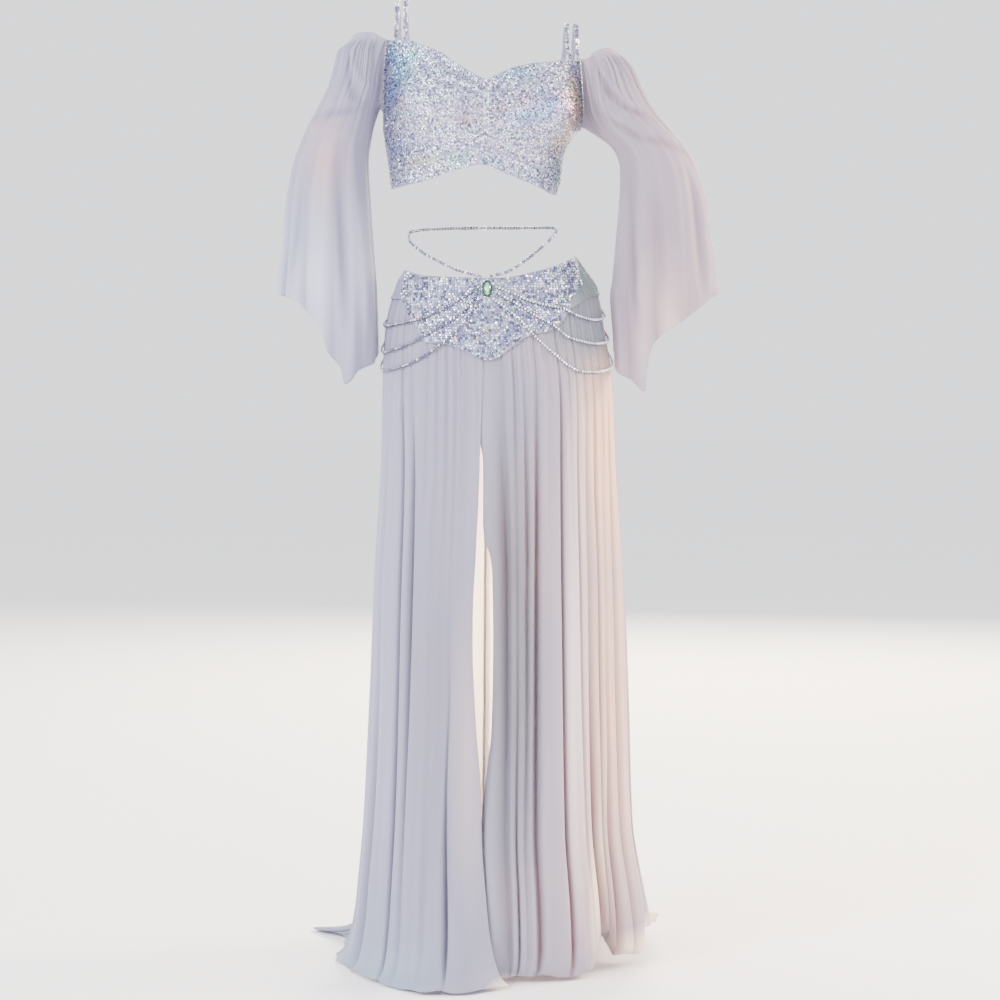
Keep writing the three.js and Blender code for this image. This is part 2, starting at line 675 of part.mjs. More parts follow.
function topPanel(name, columns, rowCount, from, to) {
  const pointAt = (phi, share) => bustPoint(phi, mix(from(phi), to(phi), share), 0);
  const geometry = clothWall(withSpares(columns), evenly(0, 1, rowCount), pointAt, BEADED_CLOTH);
  add(name, geometry, SEQUIN_CLOTH);
}

const topEdge = (phi) => read(bustTop, 'z', phi);
const bottomEdge = (phi) => read(bustBottom, 'z', phi);
const cupBottom = (phi) => bottomEdge(phi) + BAND_HEIGHT;
const bandTop = (phi) => cupBottom(phi) - SEAM_GAP;

const leftEnd = LEFT_SIDE + HALF_SEAM;
const rightEnd = RIGHT_SIDE - HALF_SEAM_RIGHT;
const leftOfMiddle = FRONT_MIDDLE - HALF_SEAM;
const rightOfMiddle = FRONT_MIDDLE + HALF_SEAM;
const cupColumns = {
  left: [leftEnd, ...leftCornerColumns, ...evenly(CUP_INNER_LEFT, leftOfMiddle, CUP_STEPS.across)],
  right: [...evenly(rightOfMiddle, CUP_INNER_RIGHT, CUP_STEPS.across), ...rightCornerColumns, rightEnd],
};
const bandColumns = {
  left: evenly(leftEnd, leftOfMiddle, BAND_STEPS.across),
  right: evenly(rightOfMiddle, rightEnd, BAND_STEPS.across),
};
const wingColumns = {
  left: evenly(-HALF_TURN + BACK_OPENING, LEFT_SIDE - HALF_SEAM, WING_STEPS.across),
  right: evenly(RIGHT_SIDE + HALF_SEAM_RIGHT, HALF_TURN - BACK_OPENING, WING_STEPS.across),
};
for (const side of ['left', 'right']) {
  topPanel(`top_cup_${side}`, cupColumns[side], CUP_STEPS.down, topEdge, cupBottom);
  topPanel(`top_band_${side}`, bandColumns[side], BAND_STEPS.down, bandTop, bottomEdge);
  topPanel(`top_back_${side}`, wingColumns[side], WING_STEPS.down, topEdge, bottomEdge);
}

// The tab gathers the cloth between the cups; the fastening closes the back
const overTop = (phi, z) => bustPoint(phi, z, LAYER_GAP + TAB_CLOTH);

function patch(name, columns, rows, look) {
  add(name, clothWall(withSpares(columns), rows, overTop, TAB_CLOTH), look);
}

patch(
  'top_tab',
  evenly(TAB.from, TAB.to, TAB_STEPS.across),
  evenly(TAB.top, TAB.bottom, TAB_STEPS.down),
  SEQUIN_CLOTH,
);
patch(
  'top_fastening',
  evenly(HALF_TURN - FASTENING.halfWide, HALF_TURN + FASTENING.halfWide, FASTENING_STEPS.across),
  evenly(FASTENING.top, FASTENING.bottom, FASTENING_STEPS.down),
  PALE_CHIFFON,
);

// Shoulder straps

// Where a strap meets the top's edge at a bearing, and the way its width runs there
function strapEnd(phi) {
  const half = STRAP_WIDTH / 2;
  const middle = bustPoint(phi, topEdge(phi), 0);
  const reach = half / Math.hypot(middle.x, middle.y) * HALF_TURN / Math.PI;
  const edge = Math.max(topEdge(phi - reach), topEdge(phi + reach));
  const ahead = bustPoint(phi + reach, edge, 0);
  const behind = bustPoint(phi - reach, edge, 0);
  const wide = ahead.sub(behind).setZ(0).normalize();
  if (wide.x < 0) wide.negate();
  return { point: bustPoint(phi, edge + EDGE_GAP, 0), wide };
}

function strap(name, shape) {
  const front = strapEnd(shape.front);
  const back = strapEnd(shape.back);
  const over = shape.over.map((row) => new THREE.Vector3(row.x, row.y, row.z));
  const path = new THREE.CatmullRomCurve3([front.point, ...over, back.point]);
  const level = new THREE.Vector3(1, 0, 0);
  const pointAt = (across, share) => {
    const fromFront = Math.min(share / STRAP_TOP, 1);
    const toBack = Math.max((share - STRAP_TOP) / (1 - STRAP_TOP), 0);
    const wide = share < STRAP_TOP
      ? front.wide.clone().lerp(level, fromFront)
      : level.clone().lerp(back.wide, toBack);
    return path.getPointAt(share).addScaledVector(wide.normalize(), across * STRAP_WIDTH);
  };
  const columns = withSpares([-0.5, 0.5]);
  const geometry = clothWall(columns, evenly(0, 1, STRAP_STEPS), pointAt, STRAP_THICK, -1);
  add(`strap_${name}`, geometry, CRYSTAL_CHAIN);
}

for (const [name, shape] of Object.entries(straps)) strap(name, shape);

// Sleeves: off the shoulder, gathered on elastic, bell shaped, with a pointed hem

function sleevePoint(sleeve, column, share) {
  const z = mix(read(sleeve.top, 'z', column.phi), read(sleeve.hem, 'z', column.phi), share);
  const outer = read(sleeve.sections, 'outer', z);
  const inner = read(sleeve.sections, 'inner', z);
  const inset = column.furrow ? read(sleeveFoldDepth, 'deep', share) : 0;
  const half = (outer - inner) / 2 - inset;
  const deep = read(sleeve.sections, 'deep', z) - inset;
  const angle = degrees(column.phi);
  const x = sleeve.side * ((outer + inner) / 2 + half * Math.cos(angle));
  const hanging = new THREE.Vector3(x, sleeve.backward - deep * Math.sin(angle), z);
  const sewn = column.phi > sleeve.armhole[0].phi && column.phi < sleeve.armhole.at(-1).phi;
  if (!sewn) return hanging;
  const bust = read(sleeve.armhole, 'bust', column.phi);
  const seam = bustPoint(bust, topEdge(bust) - ARMHOLE_LAP, SLEEVE_CLOTH + LAYER_GAP);
  return hanging.lerp(seam, Math.max(1 - share / ARMHOLE_EASE.share, 0) ** ARMHOLE_EASE.power);
}

function sleeve(name, shape) {
  const pitch = TURN / SLEEVE_FOLDS;
  const columns = [];
  for (let k = 0; k < SLEEVE_FOLDS; k += 1) {
    for (const place of sleeveFold) {
      columns.push({ phi: (k + place.share) * pitch + shape.turn, furrow: place.furrow });
    }
  }
  const pointAt = (column, share) => sleevePoint(shape, column, share);
  add(name, clothTube(columns, sleeveRows, pointAt, SLEEVE_CLOTH, -shape.side), PALE_CHIFFON);
}

sleeve('sleeve_left', leftSleeve);
sleeve('sleeve_right', rightSleeve);

export default costume;
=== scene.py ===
# Belly dance costume in two pieces, worn shape with nobody in it.
# Sizes are in millimetres until a mesh is made. Z is up, the front faces -Y and "left" is the -X side.

import math

import bpy
import numpy as np
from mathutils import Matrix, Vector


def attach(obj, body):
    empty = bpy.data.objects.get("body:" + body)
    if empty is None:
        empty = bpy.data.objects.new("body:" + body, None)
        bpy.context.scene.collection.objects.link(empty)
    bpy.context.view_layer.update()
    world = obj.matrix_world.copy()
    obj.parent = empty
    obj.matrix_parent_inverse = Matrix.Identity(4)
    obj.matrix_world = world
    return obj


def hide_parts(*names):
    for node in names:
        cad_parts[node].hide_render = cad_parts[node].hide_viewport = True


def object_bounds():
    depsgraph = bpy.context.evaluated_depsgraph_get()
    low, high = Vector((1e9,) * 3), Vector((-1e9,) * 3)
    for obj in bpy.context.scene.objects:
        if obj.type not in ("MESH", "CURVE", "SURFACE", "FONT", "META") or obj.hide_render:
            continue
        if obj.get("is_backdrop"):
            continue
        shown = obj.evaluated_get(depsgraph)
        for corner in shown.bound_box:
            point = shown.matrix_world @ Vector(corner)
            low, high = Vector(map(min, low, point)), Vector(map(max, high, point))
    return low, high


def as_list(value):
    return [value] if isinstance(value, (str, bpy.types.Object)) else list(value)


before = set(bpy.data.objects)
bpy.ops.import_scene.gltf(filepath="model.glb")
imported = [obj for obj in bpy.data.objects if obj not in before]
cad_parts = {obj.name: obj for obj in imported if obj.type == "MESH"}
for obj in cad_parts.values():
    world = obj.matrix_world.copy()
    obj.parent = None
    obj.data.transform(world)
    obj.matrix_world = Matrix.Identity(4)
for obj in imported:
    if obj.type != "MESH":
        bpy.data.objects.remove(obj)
cad_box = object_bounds()

MM = 0.001
FLOOR_Z = -1005.0
SEED = 20

# Walls and layers
CHIFFON_THICK = 0.9
BEADED_THICK = 1.2
YOKE_PROUD = 2.3
TUCK_UNDER_YOKE = 18.0
CREST_UNDER_YOKE = 1.2
SEAM_GAP = 0.35
BAND_HEIGHT = 26.0
TAB_PROUD = 1.7
TAB_REACH = 2.8
TAB_LOW = 190
TAB_HIGH = 280
CHAIN_PROUD = 3.0
CHAIN_SETTLE = 2.2
SETTING_WIDE = 1.12
CHAIN_TILT = 0.08
CHAIN_UNEVEN = (0.92, 1.08)
STRAP_WIDTH = 8.0
STRAP_TOP = 0.3
RIBBON_SHARE = 0.9
RIBBON_THICK = 0.5
STRAP_STONE_PITCH = 3.7
STRAP_STONE_RADIUS = 1.75
STRAP_ROW_AWAY = 2.0
STRAP_STONE_LIFT = 0.7
STRAP_STONE_TILT = 0.1
STRAP_POINTS = 160
EDGE_GAP = 0.35
MEAN_SKIRT_RADIUS = 150.0


# Tables, each with named columns and one row for a section, an edge point or a fold

def rows_of(text):
    """Rows of numbers, which commas part."""
    return [tuple(map(float, row.split())) for row in text.split(",")]


def table(names, rows):
    """Named columns, from rows or from their text."""
    if isinstance(rows, str):
        rows = rows_of(rows)
    return {name: np.array(column, float) for name, column in zip(names.split(), zip(*rows))}


def creases_of(text):
    """Creases, one on a line: its points of bearing and height, then half the width and the depth."""
    lines = [line.split(":") for line in text.strip().split("\n")]
    return [(rows_of(points), *map(float, size.split())) for points, size in lines]


# Outside of the hips and skirt by height
SKIRT_SECTIONS = table("z left right front back", """
    -1010 -195 250 158 200, -900 -189 231 152 186, -791 -181 213 146 174, -615 -172 206 139 162,
    -439 -165 199 133 152, -264 -154 188 127 142, -177 -152 184 123 135, -133 -151 180 120 130,
    -75 -147 170 113 120, -32 -138 163 104 107, -17 -130 158 99 102, -3 -125 150 94 97, 11 -117 139 90 92,
    36 -112 124 84 86
""")
YOKE_TOP = table("phi z", """
    -180 -4, -150 -2, -135 1, -112 8, -90 12, -70 9, -45 3, 0 0, 30 11, 60 25, 90 34, 112 28, 135 17,
    150 8, 180 -4
""")
YOKE_BOTTOM = table("phi z", """
    -180 -38, -120 -36, -90 -30, -64 -30, -54 -48, -46 -68, -37 -92, -29 -93, -19 -99, -4 -117, 8 -98,
    17 -82, 28 -75, 37 -62, 43 -45, 52 -36, 62 -28, 90 -24, 120 -34, 180 -38
""")

# Sides of the part of the yoke that is set with crystals
CRYSTALS_LEFT = table("z phi", "-70 -46, -60 -50, -46 -57, -26 -65, 14 -75")
CRYSTALS_RIGHT = table("z phi", "-70 34, -50 38, -38 43, -22 49, -12 58, 8 66, 34 74")

# Furrows: bearing high up, half way and low down, the depth there, half the width as a share of the way to
# the next one, and how sharp the bottom is
FOLD_NAMES = "high middle low high_deep middle_deep low_deep wide sharp"
LEFT_FOLDS = table(FOLD_NAMES, """
    -90 -88 -86 1.6 3 5 0.46 0.2, -81 -79 -78 1.0 1.4 1.2 0.32 0, -72 -70 -69 1.4 4 12 0.5 0.6,
    -64 -62 -60 0.8 0.8 1.2 0.5 0, -56 -52 -51 4 14 15 0.24 1, -48 -44.5 -44 1.0 13 4 0.34 0.9,
    -38 -38 -38 1.4 0.3 1.2 0.5 0, -31.5 -32 -33 2.4 0.9 2.4 0.5 0, -26.4 -26.6 -28.6 2.6 0.5 0.8 0.5 0,
    -21 -22.4 -22.6 2.4 0.8 13 0.26 1, -16.5 -17 -15.4 2.4 0.5 1.2 0.5 0
""")
RIGHT_FOLDS = table(FOLD_NAMES, """
    2.5 4 3.5 3.6 12 9 0.5 0.6, 8.4 8.6 7.6 3.6 3 9 0.26 0.8, 13.4 12.6 11.4 2.6 8 3 0.4 0.2,
    20 17.4 16.2 4 15 14 0.5 0.7, 26 22.6 21.4 2.0 0.6 0.8 0.4 0, 33 30.4 29.4 3.6 14 14 0.28 1,
    38.4 36 34.6 2.0 0.8 1.2 0.5 0, 43.6 40.4 39.4 2.4 6 3 0.3 0.6, 50 45.6 44.4 3 4 14 0.5 0.6,
    57 51.6 49.4 2.6 9 5 0.26 1, 66 58.4 55.4 3 3 11 0.5 0.2, 74 67 64 2.4 8 8 0.3 0.8
""")
BACK_FOLDS = 24
BACK_FOLD_DEPTH = (2.4, 5.5, 9.0)
BACK_FOLD_UNEVEN = 0.35
BACK_DEPTH_UNEVEN = 0.75
BACK_FOLD_WIDE = (0.38, 0.12)
BACK_FOLD_SHARP = (0.5, 0.4)
TRAIN_CORNER = -238.0
CORNER_REACH = 36.0
CORNER_CALM = 0.92
FOLD_LEVELS = (0.08, 0.42, 0.88)
LEFT_SEAM = -97.0
RIGHT_SEAM = 83.0
SLIT_LEFT = table("share phi inset", """
    0 -6.4 0, 0.2 -9.4 0, 0.33 -10.6 0, 0.46 -12 0, 0.6 -9.8 0, 0.69 -7.6 0, 0.8 -6.6 0, 1 -5.2 0
""")
SLIT_RIGHT = table("share phi inset", """
    0 -8.6 3, 0.1 -10.2 3.2, 0.14 -9.8 3, 0.18 -7.8 2.8, 0.27 -7.8 2.6, 0.3 -7 2.6, 0.33 -4 2.4,
    0.36 -3.2 2.4, 0.46 -2.8 3, 0.6 -3.4 6, 0.69 -6.2 9, 0.8 -9 11, 1 -11 12
""")
SKIRT_ROWS = table("share drop spread", """
    0 0 0, 0.08 0.08 0, 0.2 0.2 0, 0.33 0.33 0, 0.46 0.46 0, 0.6 0.6 0, 0.74 0.74 0, 0.88 0.9 0.08,
    0.92 0.95 0.25, 0.96 0.983 0.56, 1 1 1
""")
EARLY_SPREAD = table("share spread", "0 0, 0.6 0, 0.74 0.12, 0.88 0.36, 0.92 0.48, 0.96 0.7, 1 1")
HEM_OUTER = table("phi x y lift", """
    -290 212 4 20, -277 226 24 38, -265 240 62 44, -255 250 104 42, -245 258 150 40, -235 260 200 34,
    -224 236 250 24, -210 150 284 6, -180 10 300 3, -150 -130 288 3, -127 -268 252 3, -108 -214 168 3,
    -97 -214 110 3, -88 -226 54 3, -65 -194 -78 3, -45 -140 -162 3, -25 -74 -217 3, -14 -32 -217 3,
    -5 32 -170 3, 2 70 -140 3
""")
HEM_RIGHT = table("phi x y lift", """
    -14 -20 -130 8, 0 20 -134 6, 12 56 -134 7, 26 106 -122 6, 37 152 -96 10, 46 166 -16 42, 56 190 -16 14,
    70 222 -2 14, 83 226 24 38, 95 240 62 44
""")

# Bust and ribs by height, and the edges of the beaded top
BUST_SECTIONS = table("z left right front back", """
    110 -137 98 84 78, 125 -138 101 84 78, 141 -139 106 85 79, 170 -143 109 88 80, 200 -147 121 90 84,
    213 -149 134 90 86, 240 -149 137 90 88, 300 -149 136 82 88, 345 -148 134 70 88
""")
BUST_TOP = table("phi z", """
    -180 212, -142 214, -120 219, -100 232, -86 255, -80 305, -75 337, -71 340, -47 338, -37 331, -25 321,
    -16 306.5, -6 290.5, 2.5 281, 8.5 288, 17 297, 29 304, 42 307, 54 311, 60 313, 79 313, 84 282, 90 238,
    94 218, 110 216, 142 214, 180 212
""")
BUST_BOTTOM = table("phi z", """
    -180 172, -150 163, -125 146, -105 132, -86 127, -72 128, -40 136, -18 149, 3 160, 25 144, 50 129,
    74 119, 94 120, 112 127, 130 142, 150 160, 180 172
""")
CUPS = table("phi z height wide tall", "-31 248 24 25 44, 40 242 24 25 44")
FRONT_MIDDLE = 2.5
LEFT_SIDE = -86.0
RIGHT_SIDE = 94.0
BACK_OPENING = 3.0
HALF_SEAM = 0.2
HALF_SEAM_RIGHT = 0.4

# Sleeves: reach of the outer and inner side by height, half the depth, and the two edges
LEFT_SLEEVE = {
    "side": -1, "backward": 4, "turn": 3,
    "armhole": table("phi bust", "138 -68, 150 -75, 165 -80, 180 -86, 198 -92, 214 -99"),
    "sections": table("z outer inner deep", """
        -160 304 156 76, -94 304 156 74, -18 303 158 70, 55 296 164 64, 112 290 168 60, 170 278 171 58,
        213 261 166 57, 255 239 156 55, 283 226 153 53, 310 218 152 50, 325 214 152 48, 341 198 151 46
    """),
    "top": table("phi z", """
        0 335, 30 343, 60 349, 90 350, 120 350, 138 347, 150 340, 165 302, 180 257, 200 262, 230 290,
        270 325, 315 334, 360 335
    """),
    "hem": table("phi z", """
        0 -22, 30 -26, 54 -33, 64 -46, 85 -72, 91 -104, 107 -129, 111 -152, 130 -133, 155 -123, 180 -114,
        210 -84, 270 -50, 330 -28, 360 -22
    """),
}
RIGHT_SLEEVE = {
    "side": 1, "backward": 4, "turn": 7,
    "armhole": table("phi bust", "138 74, 150 80, 165 87, 180 94, 198 101, 214 107"),
    "sections": table("z outer inner deep", """
        -170 338 183.4 76, -92 338 181.4 76, -25 338 177 74, -4 335 180 72, 54 326 186 68, 112 318 191 62,
        155 305 193 60, 184 290 186 58, 213 267 156 56, 241 243 143 54, 270 225 140 52, 300 210 140 50,
        327 186 138 46
    """),
    "top": table("phi z", """
        0 326, 30 328, 60 328, 90 326, 120 321, 138 314, 150 310, 165 262, 180 219, 200 226, 230 262,
        270 308, 315 325, 360 328
    """),
    "hem": table("phi z", """
        0 -18, 30 -28, 55 -44, 71 -59, 89 -74, 100 -84, 107 -95, 112 -115, 116 -162, 134 -148, 167 -131,
        180 -112, 210 -88, 270 -56, 330 -28, 360 -18
    """),
}
SLEEVE_FOLDS = 10
SLEEVE_FURROW = 0.68
ARMHOLE_LAP = 1.5
ARMHOLE_PROUD = 1.2
ARMHOLE_SHARE = 0.13
ARMHOLE_POWER = 1.6
SLEEVE_FOLD_DEPTH = table("share deep", "0 1.2, 0.05 2.2, 0.2 2.4, 0.42 1.2, 0.7 3, 1 6")

# Chains round the hips and the strings round the bare waist
SWAGS = {
    "left_1": table("phi z", """
        -9.6 -12, -14 -21, -21 -33, -31 -48, -44 -59, -57 -64, -80 -69, -102 -60, -122 -14
    """),
    "left_2": table("phi z", """
        -9.6 -20, -14 -38, -21 -57, -30 -71, -42 -86, -58 -100, -80 -107, -104 -90, -126 -22
    """),
    "left_3": table("phi z", """
        -8.6 -30, -13 -53, -21 -78, -29 -95, -38 -110, -54 -126, -78 -133, -105 -114, -130 -30
    """),
    "right_1": table("phi z", """
        -1 -12, 10 -23, 19 -33, 27 -38, 37 -43, 49 -54, 64 -60, 84 -57, 104 -44, 120 -10
    """),
    "right_2": table("phi z", """
        -1 -19, 12 -38, 21 -53, 28 -63, 34 -73, 40 -84, 49 -90, 62 -94, 84 -91, 106 -70, 124 -18
    """),
    "right_3": table("phi z", """
        -2 -28, 5 -42, 13 -60, 21 -85, 30 -108, 38 -125, 46 -133, 60 -134, 82 -126, 106 -98, 128 -26
    """),
}
WAIST_STRINGS = {
    "left": rows_of("""
        -8 -96.4 2.3, -38 -91 9.6, -67 -80 22.2, -95 -56 38.2, -112 -22 54.6, -113 20 65, -92 58 70,
        -56 80 72, -13 87 73
    """),
    "right": rows_of("""
        4 -96.4 2.3, 26 -92 7.5, 47 -86 19, 68 -74 35, 88 -52 52.5, 100 -16 67, 96 26 72, 74 60 73,
        40 80 73, 0 87 73
    """),
}
STRAPS = {
    "left_outer": (-61, -140.5, rows_of("""
        -129 -40 352, -128.5 -26 380, -128.5 0 396, -128.5 25 389, -128 50 360, -124 68 315, -112 76 262
    """)),
    "left_inner": (-50.5, -148, rows_of("""
        -116 -47 352, -116 -31 381, -116 0 397, -117 27 390, -117 54 360, -109 74 315, -98 81 262
    """)),
    "right_inner": (61.5, 148.5, rows_of("""
        114.5 -36 330, 114.5 -23 353, 114.5 0 364, 114 25 358, 113 50 332, 104 72 290, 86 82 250
    """)),
    "right_outer": (74.5, 140.5, rows_of("""
        128.5 -22 330, 128.5 -15 352, 128 0 363, 127 22 357, 126 46 332, 115 68 290, 98 77 250
    """)),
}

# The stone in its rim, and the clasp behind: place and size
BROOCH = {"phi": -5.4, "z": -16, "half_wide": 6, "half_tall": 10.4, "deep": 6, "seat": 1.2}
CLASP = {"x": -6.5, "y": 87, "z": 73, "radius": 3, "length": 12.2}


# Reading the tables

def read(rows, name, at):
    """The value of a column where the first column has a given value, on a smooth curve by the rows."""
    keys = next(iter(rows.values()))
    values = rows[name]
    at = np.clip(np.asarray(at, float), keys[0], keys[-1])
    i = np.clip(np.searchsorted(keys, at, side="left") - 1, 0, len(keys) - 2)
    rise = np.diff(values) / np.diff(keys)
    total = rise[:-1] + rise[1:]
    product = rise[:-1] * rise[1:]
    slope = np.concatenate([rise[:1], np.zeros(len(keys) - 2), rise[-1:]])
    slope[1:-1] = np.where(product > 0, 2 * product / np.where(total == 0, 1, total), 0)
    step = keys[i + 1] - keys[i]
    t = (at - keys[i]) / step
    rest = values[i] * (2 * t**3 - 3 * t**2 + 1) + values[i + 1] * (3 * t**2 - 2 * t**3)
    return rest + step * (slope[i] * (t**3 - 2 * t**2 + t) + slope[i + 1] * (t**3 - t**2))


def on_section(sections, phi, z, proud=0.0):
    left = read(sections, "left", z)
    right = read(sections, "right", z)
    angle = np.radians(phi)
    deep = np.where(np.cos(angle) >= 0, read(sections, "front", z), read(sections, "back", z))
    x = (left + right) / 2 + ((right - left) / 2 + proud) * np.sin(angle)
    y = -(deep + proud) * np.cos(angle)
    return np.stack(np.broadcast_arrays(x, y, np.asarray(z, float)), axis=-1)


def bust_point(phi, z, proud=0.0):
    point = on_section(BUST_SECTIONS, phi, z, proud)
    angle = np.radians(phi)
    for cup_phi, cup_z, height, wide, tall in zip(*CUPS.values()):
        swell = height * np.exp(-((phi - cup_phi) / wide) ** 2 - ((z - cup_z) / tall) ** 2)
        point[..., 0] += swell * np.sin(angle)
        point[..., 1] -= swell * np.cos(angle)
    return point


def on_yoke(phi, z, proud=0.0):
    return on_section(SKIRT_SECTIONS, phi, z, YOKE_PROUD + proud)


def top_edge(phi):
    return read(BUST_TOP, "z", phi)


def bottom_edge(phi):
    return read(BUST_BOTTOM, "z", phi)


# Meshes

def placed(name, data):
    made = bpy.data.objects.new(name, data)
    bpy.context.scene.collection.objects.link(made)
    return made


def add_piece(name, mesh, materials, slot, nodes=(), thick=0.0):
    for look in materials:
        mesh.materials.append(look)
    piece = placed(name + "_look" if nodes else name, mesh)
    if thick:
        wall = piece.modifiers.new("wall", "SOLIDIFY")
        wall.thickness = thick * MM
        wall.offset = -1
        wall.use_even_offset = False
        wall.material_offset = len(materials) - 1
    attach(piece, "root")
    if nodes:
        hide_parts(*nodes)
    return piece


def seeded(number):
    return np.random.default_rng(SEED + number)


def run_of(points):
    """The length run from a path's start to each of its points."""
    return np.concatenate([[0], np.linalg.norm(np.diff(points, axis=0), axis=1).cumsum()])


def sheet_mesh(name, grid, closed=False, flip=False, furrow=None):
    """A sheet from rows and columns of points, with a UV map in metres and how deep in a fold it lies."""
    rows, columns = grid.shape[:2]
    index = np.arange(rows * columns).reshape(rows, columns)
    if closed:
        index = np.concatenate([index, index[:, :1]], axis=1)
    corners = [index[:-1, :-1], index[1:, :-1], index[1:, 1:], index[:-1, 1:]]
    if flip:
        corners.reverse()
    faces = np.stack(corners, axis=-1).reshape(-1, 4)
    mesh = bpy.data.meshes.new(name)
    mesh.from_pydata((grid.reshape(-1, 3) * MM).tolist(), [], faces.tolist())
    mesh.shade_smooth()
    if furrow is not None:
        # How deep in a fold each point lies, which the chiffon uses for painted shade
        mesh.attributes.new("furrow", "FLOAT", "POINT").data.foreach_set("value", furrow.ravel())
    u = run_of(grid[rows // 2]) * MM
    v = -run_of(grid[:, columns // 2]) * MM
    place = np.stack(np.meshgrid(u, v), axis=-1).reshape(-1, 2)
    uv = mesh.uv_layers.new(name="cloth")
    uv.data.foreach_set("uv", place[faces.ravel()].ravel())
    return mesh


def unit(vectors):
    return vectors / np.maximum(np.linalg.norm(vectors, axis=-1, keepdims=True), 1e-9)


def ripple(t, rng, waves, longest, shortest):
    """A seeded sum of waves along t, between about -1 and 1."""
    lengths = np.geomspace(longest, shortest, waves)
    phases = rng.uniform(0, 2 * math.pi, waves)
    return sum(np.sin(2 * math.pi * t / a + b) for a, b in zip(lengths, phases)) / math.sqrt(waves)


def soft_line(phi, z, points, wide, deep, radius):
    """A soft trough, or a ridge where deep is negative, along given points of bearing and height."""
    across = np.radians(phi) * radius
    path = np.array([(math.radians(a) * radius, b) for a, b in points], float)
    legs = np.linalg.norm(np.diff(path, axis=0), axis=1)
    starts = np.concatenate([[0], legs.cumsum()])
    nearest = np.full(across.shape, np.inf)
    along = np.zeros(across.shape)
    for k, leg in enumerate(legs):
        way = (path[k + 1] - path[k]) / leg
        run = np.clip((across - path[k][0]) * way[0] + (z - path[k][1]) * way[1], 0, leg)
        gap = np.hypot(across - path[k][0] - run * way[0], z - path[k][1] - run * way[1])
        closer = gap < nearest
        nearest = np.where(closer, gap, nearest)
        along = np.where(closer, (starts[k] + run) / starts[-1], along)
    taper = np.sin(math.pi * np.clip(along, 0.02, 0.98)) ** 0.6
    return deep * taper * np.exp(-((nearest / wide) ** 2))


# Materials

def material(name, build):
    made = bpy.data.materials.new(name)
    made.use_nodes = True
    tree = made.node_tree
    shader = tree.nodes["Principled BSDF"]
    build(tree, shader)
    return made


def node(tree, kind, **settings):
    made = tree.nodes.new(kind)
    for key, value in settings.items():
        setattr(made, key, value)
    return made


def set_inputs(made, **values):
    for key, value in values.items():
        made.inputs[key.replace("_", " ")].default_value = value


def noise(tree, vector, scale, detail=3.0, rough=0.5):
    made = node(tree, "ShaderNodeTexNoise")
    set_inputs(made, Scale=scale, Detail=detail, Roughness=rough)
    tree.links.new(vector, made.inputs["Vector"])
    return made.outputs["Fac"]


def ramp(tree, value, stops):
    made = node(tree, "ShaderNodeValToRGB")
    elements = made.color_ramp.elements
    while len(elements) < len(stops):
        elements.new(0.5)
    for element, (place, colour) in zip(elements, stops):
        element.position = place
        element.color = (*colour, 1)
    tree.links.new(value, made.inputs["Fac"])
    return made.outputs["Color"]


def feed(tree, sockets, values):
    """Links each socket to another one, or sets it to a number or colour."""
    for socket, value in zip(sockets, values):
        if isinstance(value, bpy.types.NodeSocket):
            tree.links.new(value, socket)
        else:
            socket.default_value = value


def blend(tree, factor, a, b, mode="MIX"):
    made = node(tree, "ShaderNodeMix", data_type="RGBA", blend_type=mode)
    feed(tree, (made.inputs[0], made.inputs[6], made.inputs[7]), (factor, a, b))
    return made.outputs[2]


def maths(tree, operation, *values):
    made = node(tree, "ShaderNodeMath", operation=operation)
    feed(tree, made.inputs, values)
    return made.outputs[0]


def mix_shaders(tree, *values):
    made = node(tree, "ShaderNodeMixShader")
    feed(tree, made.inputs, values)
    return made.outputs[0]


def bump(tree, shader, height, strength, distance):
    made = node(tree, "ShaderNodeBump")
    set_inputs(made, Strength=strength, Distance=distance)
    tree.links.new(height, made.inputs["Height"])
    tree.links.new(made.outputs["Normal"], shader.inputs["Normal"])


def place_of(tree):
    return node(tree, "ShaderNodeTexCoord").outputs["Object"]


def weave(tree, uv, pitch):
    """The grid of fine threads of the cloth, from two crossed waves on the UV map."""
    threads = []
    for direction in ("X", "Y"):
        wave = node(tree, "ShaderNodeTexWave", bands_direction=direction)
        set_inputs(wave, Scale=0.314 / pitch, Distortion=0.0)
        tree.links.new(uv, wave.inputs["Vector"])
        threads.append(wave.outputs["Fac"])
    return maths(tree, "MAXIMUM", *threads)


def sheer(tree, shader, through, clear):
    """Lets light through the cloth: a translucent share and a clear share."""
    glow = node(tree, "ShaderNodeBsdfTranslucent")
    tree.links.new(shader.inputs["Base Color"].links[0].from_socket, glow.inputs["Color"])
    lit = mix_shaders(tree, through, shader.outputs[0], glow.outputs[0])
    cloth = mix_shaders(tree, clear, lit, node(tree, "ShaderNodeBsdfTransparent").outputs[0])
    output = next(n for n in tree.nodes if n.type == "OUTPUT_MATERIAL")
    tree.links.new(cloth, output.inputs["Surface"])


def zone(tree, place, middle, reach):
    """A soft patch on the object: 1 at its middle and 0 at its reach, by width and height only."""
    mapped = node(tree, "ShaderNodeMapping")
    mapped.inputs["Scale"].default_value = (1 / reach[0], 0, 1 / reach[1])
    mapped.inputs["Location"].default_value = (-middle[0] / reach[0], 0, -middle[1] / reach[1])
    tree.links.new(place, mapped.inputs["Vector"])
    patch = node(tree, "ShaderNodeTexGradient", gradient_type="SPHERICAL")
    tree.links.new(mapped.outputs[0], patch.inputs["Vector"])
    return patch.outputs["Fac"]


def patched(tree, place, colour, zones):
    """The colour with soft patches of other tones on it, many of them painted light and shade."""
    for middle, reach, share, tone in zones:
        patch = maths(tree, "MULTIPLY", zone(tree, place, middle, reach), share)
        patch.node.use_clamp = True
        colour = blend(tree, patch, colour, (*tone, 1))
    return colour
